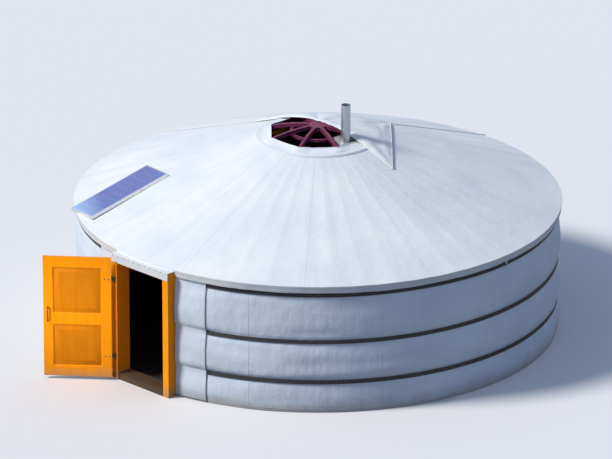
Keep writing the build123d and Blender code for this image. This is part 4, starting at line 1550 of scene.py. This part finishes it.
@dataclass
class StovePipe(SubAssembly):
    """Joint beads, lock seam and rim of the sheet pipe, and the tin plate's rivets."""

    bead: float = 0.0028
    bead_drops: tuple[float, ...] = (0.022, 0.29, 0.305)
    rim: float = 0.003
    seam: float = 0.0026
    seam_angle: float = -0.6
    rivets: int = 8
    rivet: tuple[float, float] = (0.004, 0.002)
    rivet_circle: float = 0.078
    collar: Profile = ((0.0, 0.0005), (0.002, 0.010), (0.010, 0.0035), (0.030, 0.0025), (0.032, 0.0005))

    def build(self) -> None:
        """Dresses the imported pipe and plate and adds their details."""
        self.dress("stove_pipe", PIPE_STEEL)
        self.dress("pipe_plate", TIN_PLATE, 0.0006, 1)
        low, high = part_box("stove_pipe")
        middle = (low + high) / 2
        radius = (high.x - low.x) / 2
        pipe, collar = MeshBook(), MeshBook()
        rings = [(high.z - self.rim, self.rim, -0.0015)]
        rings += [(high.z - down, self.bead, 0.0) for down in self.bead_drops]
        for height, bead, out in rings:
            reach = radius + out
            path = [
                Vector((middle.x + reach * math.cos(a), middle.y + reach * math.sin(a), height)) for a in around(48)
            ]
            pipe.tube(path, bead, closed=True)
        x, y = middle.x + radius * math.cos(self.seam_angle), middle.y + radius * math.sin(self.seam_angle)
        pipe.tube([Vector((x, y, h)) for h in spaced(low.z + 0.002, high.z - 0.004, 12)], self.seam, 6)
        self.declare(self.piece(pipe, "pipe_beads", [PIPE_STEEL]), "pipe_steel")
        plate_low, plate_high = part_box("pipe_plate")
        fall = (plate_high.z - plate_low.z - 0.003) / (plate_high.x - plate_low.x)

        def on_plate(reach: float, angle: float, rise: float) -> Vector:
            """Point over the sloping plate, at a distance from the pipe's axis."""
            x, y = middle.x + reach * math.cos(angle), middle.y + reach * math.sin(angle)
            return Vector((x, y, plate_high.z - fall * (x - plate_low.x) + rise))

        foot = radius + 0.0006
        collar.grid([[on_plate(foot + out, a, rise) for a in around(48)] for out, rise in self.collar], closed=True)
        for a in around(self.rivets):
            collar.dome(on_plate(self.rivet_circle, a, 0.002), UP, *self.rivet, 8)
        self.declare(self.piece(collar, "pipe_collar", [TIN_PLATE]), "pipe_steel")


@dataclass
class SolarPanel(SubAssembly):
    """Cells, silver lines and corner screws of the panel that lies on the roof."""

    length: float = 1.100
    width: float = 0.530
    depth: float = 0.034
    rim: float = 0.012
    from_eave: float = 0.530
    turn: float = math.radians(21)
    bay: float = 3.5
    across: int = 9
    down: int = 4
    end_margins: float = 0.030
    side_margins: float = 0.026
    clip: float = 0.014
    gap: float = 0.002
    cell_rise: float = 0.0004
    line: float = 0.0009
    line_rise: float = 0.0003
    screw_inset: float = 0.006
    screw: tuple[float, float] = (0.0035, 0.0016)
    side_screw: tuple[float, float] = (0.004, 0.002)
    side_screw_places: tuple[float, ...] = (0.02, 0.30)

    def place(self, x: float, y: float, z: float) -> Vector:
        """Lays a point of the panel on the roof.

        Args:
            x: Its way along the panel, from the middle.
            y: Its way across the panel, from the middle.
            z: Its height above the panel's underside.

        Returns:
            The point on the tent.
        """
        form = self.form
        share = math.cos(form.cell / 2)
        tilt = math.atan(math.tan(form.slope) / share)
        radius = form.eave_radius - self.from_eave
        height = form.roof_height(radius / share) + 0.0003 / math.cos(tilt)
        angle = form.door_angle + self.bay * form.cell
        point = Matrix.Rotation(tilt, 3, "Y") @ (Matrix.Rotation(self.turn, 3, "Z") @ Vector((x, y, z)))
        return Matrix.Rotation(-angle - math.pi / 2, 3, "Z") @ (point + Vector((radius, 0, height)))

    def build(self) -> None:
        """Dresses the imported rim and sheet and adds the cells."""
        self.dress("solar_frame", PALE_ALUMINIUM, 0.0015)
        self.dress("solar_sheet", SOLAR_BACKING)
        cells, screws = MeshBook(), MeshBook()
        long = self.length - 2 * self.rim - self.end_margins
        wide = self.width - 2 * self.rim - self.side_margins
        step_x, step_y = long / self.across, wide / self.down
        top = self.depth - 0.0001
        middle = self.place(0, 0, 0)
        out = self.place(0, 0, 1) - middle
        a, b, clip = step_x / 2 - self.gap, step_y / 2 - self.gap, self.clip
        shape = (
            (-a + clip, -b), (a - clip, -b), (a, -b + clip), (a, b - clip),
            (a - clip, b), (-a + clip, b), (-a, b - clip), (-a, -b + clip),
        )
        for i in range(self.across):
            for j in range(self.down):
                x, y = -long / 2 + (i + 0.5) * step_x, -wide / 2 + (j + 0.5) * step_y
                cells.slab([self.place(x + u, y + v, top) for u, v in shape], out * self.cell_rise, 0.0003)
        end, half = long / 2, self.line
        for j in range(self.down):
            for share in (-0.25, 0.25):
                y = -wide / 2 + (j + 0.5 + share) * step_y
                strip = ((-end, y - half), (end, y - half), (end, y + half), (-end, y + half))
                cells.slab([self.place(u, v, top + self.line_rise) for u, v in strip], out * self.line_rise, kind=1)
        self.declare(self.piece(cells, "solar_cells", [SOLAR_BLUE, SILVER_LINE]), "solar_cells")
        for sx in (-1, 1):
            for sy in (-1, 1):
                x, y = (self.length / 2 - self.screw_inset) * sx, (self.width / 2 - self.screw_inset) * sy
                screws.dome(self.place(x, y, self.depth - 0.0004), out, *self.screw, 8)
                side = self.place(0, sy, 0) - middle
                for u in self.side_screw_places:
                    at = self.place(sx * (self.length / 2 - u), self.width / 2 * sy, self.depth / 2)
                    screws.dome(at, side, *self.side_screw, 8)
        self.declare(self.piece(screws, "solar_screws", [SILVER_LINE]), "aluminium_rim")


# ---- studio


@dataclass(frozen=True)
class Studio:
    """Pale floor, soft light and the camera at the photograph's viewing angle."""

    azimuth: float = 44.5
    elevation: float = 21.3
    distance: float = 78.0
    lens: float = 385.0
    aim: tuple[float, float, float] = (-0.10, -0.10, 1.16)
    sun_azimuth: float = -33.0
    sun_elevation: float = 43.0
    sun_strength: float = 3.12
    sun_spread: float = 14.0
    sun_colour: Colour = (1.0, 0.965, 0.91)
    sky: Colour = (0.41, 0.54, 0.82)
    sky_strength: float = 0.57
    backdrop: Colour = (0.86, 0.87, 0.88)
    floor: Colour = (0.82, 0.81, 0.79)
    # Painted shade: colour of the floor inside the wall.
    floor_painted_shade: Colour = (0.05, 0.045, 0.04)
    floor_bounce: Colour = (0.16, 0.155, 0.15)
    floor_radius: float = 120.0
    floor_sides: int = 64
    dark_to: float = 2.74
    pale_from: float = 2.80
    box_at: tuple[float, float, float] = (-0.6, -5.7, 1.4)
    box_aim: tuple[float, float, float] = (-0.65, -3.2, 0.85)
    box_side: float = 1.4
    box_power: float = 11.0
    box_spread: float = 60.0
    box_colour: Colour = (1.0, 0.96, 0.90)

    @staticmethod
    def toward(azimuth: float, elevation: float) -> Vector:
        """Direction from the tent toward a place in the sky."""
        turn, rise = math.radians(azimuth), math.radians(elevation)
        return polar(math.cos(rise), turn, math.sin(rise))

    @staticmethod
    def _hang(name: str, data: bpy.types.ID, toward: Vector, at: Vector = Vector()) -> Thing:
        """Adds a light or a camera.

        Args:
            name: Its name.
            data: The light or the camera.
            toward: Direction from what it looks at to itself.
            at: Its place.

        Returns:
            The new object.
        """
        made = bpy.data.objects.new(name, data)
        made.location = at
        made.rotation_euler = toward.to_track_quat("Z", "Y").to_euler()
        bpy.context.scene.collection.objects.link(made)
        return made

    def build(self) -> None:
        """Makes the floor, the light and the camera."""
        self._floor()
        self._world()
        sun = bpy.data.lights.new("soft_sun", "SUN")
        sun.energy, sun.angle, sun.color = self.sun_strength, math.radians(self.sun_spread), self.sun_colour
        self._hang("soft_sun", sun, self.toward(self.sun_azimuth, self.sun_elevation))
        self._softbox()
        camera = bpy.data.cameras.new("camera")
        camera.lens, camera.sensor_width, camera.clip_end = self.lens, 36.0, 1000.0
        toward = self.toward(self.azimuth, self.elevation)
        scene = bpy.context.scene
        scene.camera = self._hang("camera", camera, toward, Vector(self.aim) + toward * self.distance)
        scene.view_settings.view_transform = "Standard"

    def _softbox(self) -> None:
        """Soft lamp in front of the door, unseen by the camera, that lights the door and its frame alone."""
        lamp = bpy.data.lights.new("door_softbox", "AREA")
        lamp.shape, lamp.size, lamp.energy, lamp.color = "SQUARE", self.box_side, self.box_power, self.box_colour
        lamp.spread = math.radians(self.box_spread)
        at = Vector(self.box_at)
        made = self._hang("door_softbox", lamp, at - Vector(self.box_aim), at)
        made.visible_camera = made.visible_glossy = False
        lit = bpy.data.collections.new("lit_by_softbox")
        for piece in bpy.data.objects:
            if piece.name.startswith(("door_", "hinge_")) and piece.type == "MESH":
                lit.objects.link(piece)
        made.light_linking.receiver_collection = lit

    def _floor(self) -> None:
        """Wide plain floor, pale outside the tent and painted dark inside it as the shade under the tent, which
        throws little light back up.
        """
        mesh = bpy.data.meshes.new("floor")
        reach = self.floor_radius
        ring = [(reach * math.cos(a), reach * math.sin(a), -0.0005) for a in around(self.floor_sides)]
        mesh.from_pydata(ring, [], [tuple(range(self.floor_sides))])
        paper = bpy.data.materials.new("floor_paper")
        paper.use_nodes = True
        w = Wiring(paper.node_tree)
        away = w.node("VectorMath", {0: w.straight()}, operation="LENGTH").outputs["Value"]
        # Painted shade: the floor within the wall is dark, standing for the shade inside the tent.
        shown = w.blend(w.window(away, self.dark_to, self.pale_from), self.floor_painted_shade, self.floor)
        shader = w.node("BsdfDiffuse", {"Color": w.blend(w.seen(), self.floor_bounce, shown)})
        w.node("OutputMaterial", {"Surface": shader.outputs[0]})
        mesh.materials.append(paper)
        floor = bpy.data.objects.new("floor", mesh)
        bpy.context.scene.collection.objects.link(floor)

    def _world(self) -> None:
        """Soft sky light, seen as a pale backdrop."""
        world = bpy.data.worlds.new("pale_world")
        world.use_nodes = True
        bpy.context.scene.world = world
        w = Wiring(world.node_tree)
        sky = w.node("Background", {"Color": self.sky, "Strength": self.sky_strength})
        shown = w.node("Background", {"Color": self.backdrop, "Strength": 1.0})
        mixed = w.node("MixShader", {0: w.seen(), 1: sky.outputs[0], 2: shown.outputs[0]})
        w.node("OutputWorld", {"Surface": mixed.outputs[0]})


def main() -> None:
    """Builds every class in order."""
    form, effects = TentForm.from_frame(), Effects()
    belts = {name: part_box(f"belt_{name}") for name in ("lower", "middle", "upper")}
    wall = WallCover(form, effects, tuple((low.z + high.z) / 2 for low, high in belts.values()))
    pin = frame["joints"][0]["pos_m"]
    for made in (
        FeltLining(form, effects),
        wall,
        RoofCover(form, effects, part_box("door_head")[1].z),
        *(CoverStrip(form, effects, wall, side) for side in (-1, 1)),
        *(Belt(form, effects, wall, name) for name in belts),
        CrownFlap(form, effects, belts["upper"][1].z),
        WoodFrame(form, effects),
        DoorLeaf(form, effects, Vector((pin[0], pin[1], 0.0))),
        StovePipe(form, effects),
        SolarPanel(form, effects),
        Studio(),
    ):
        made.build()
        LOG.info("%s is in place", type(made).__name__)


if __name__ == "__main__":
    logging.basicConfig(level=logging.INFO, format="%(name)s %(message)s")
    main()
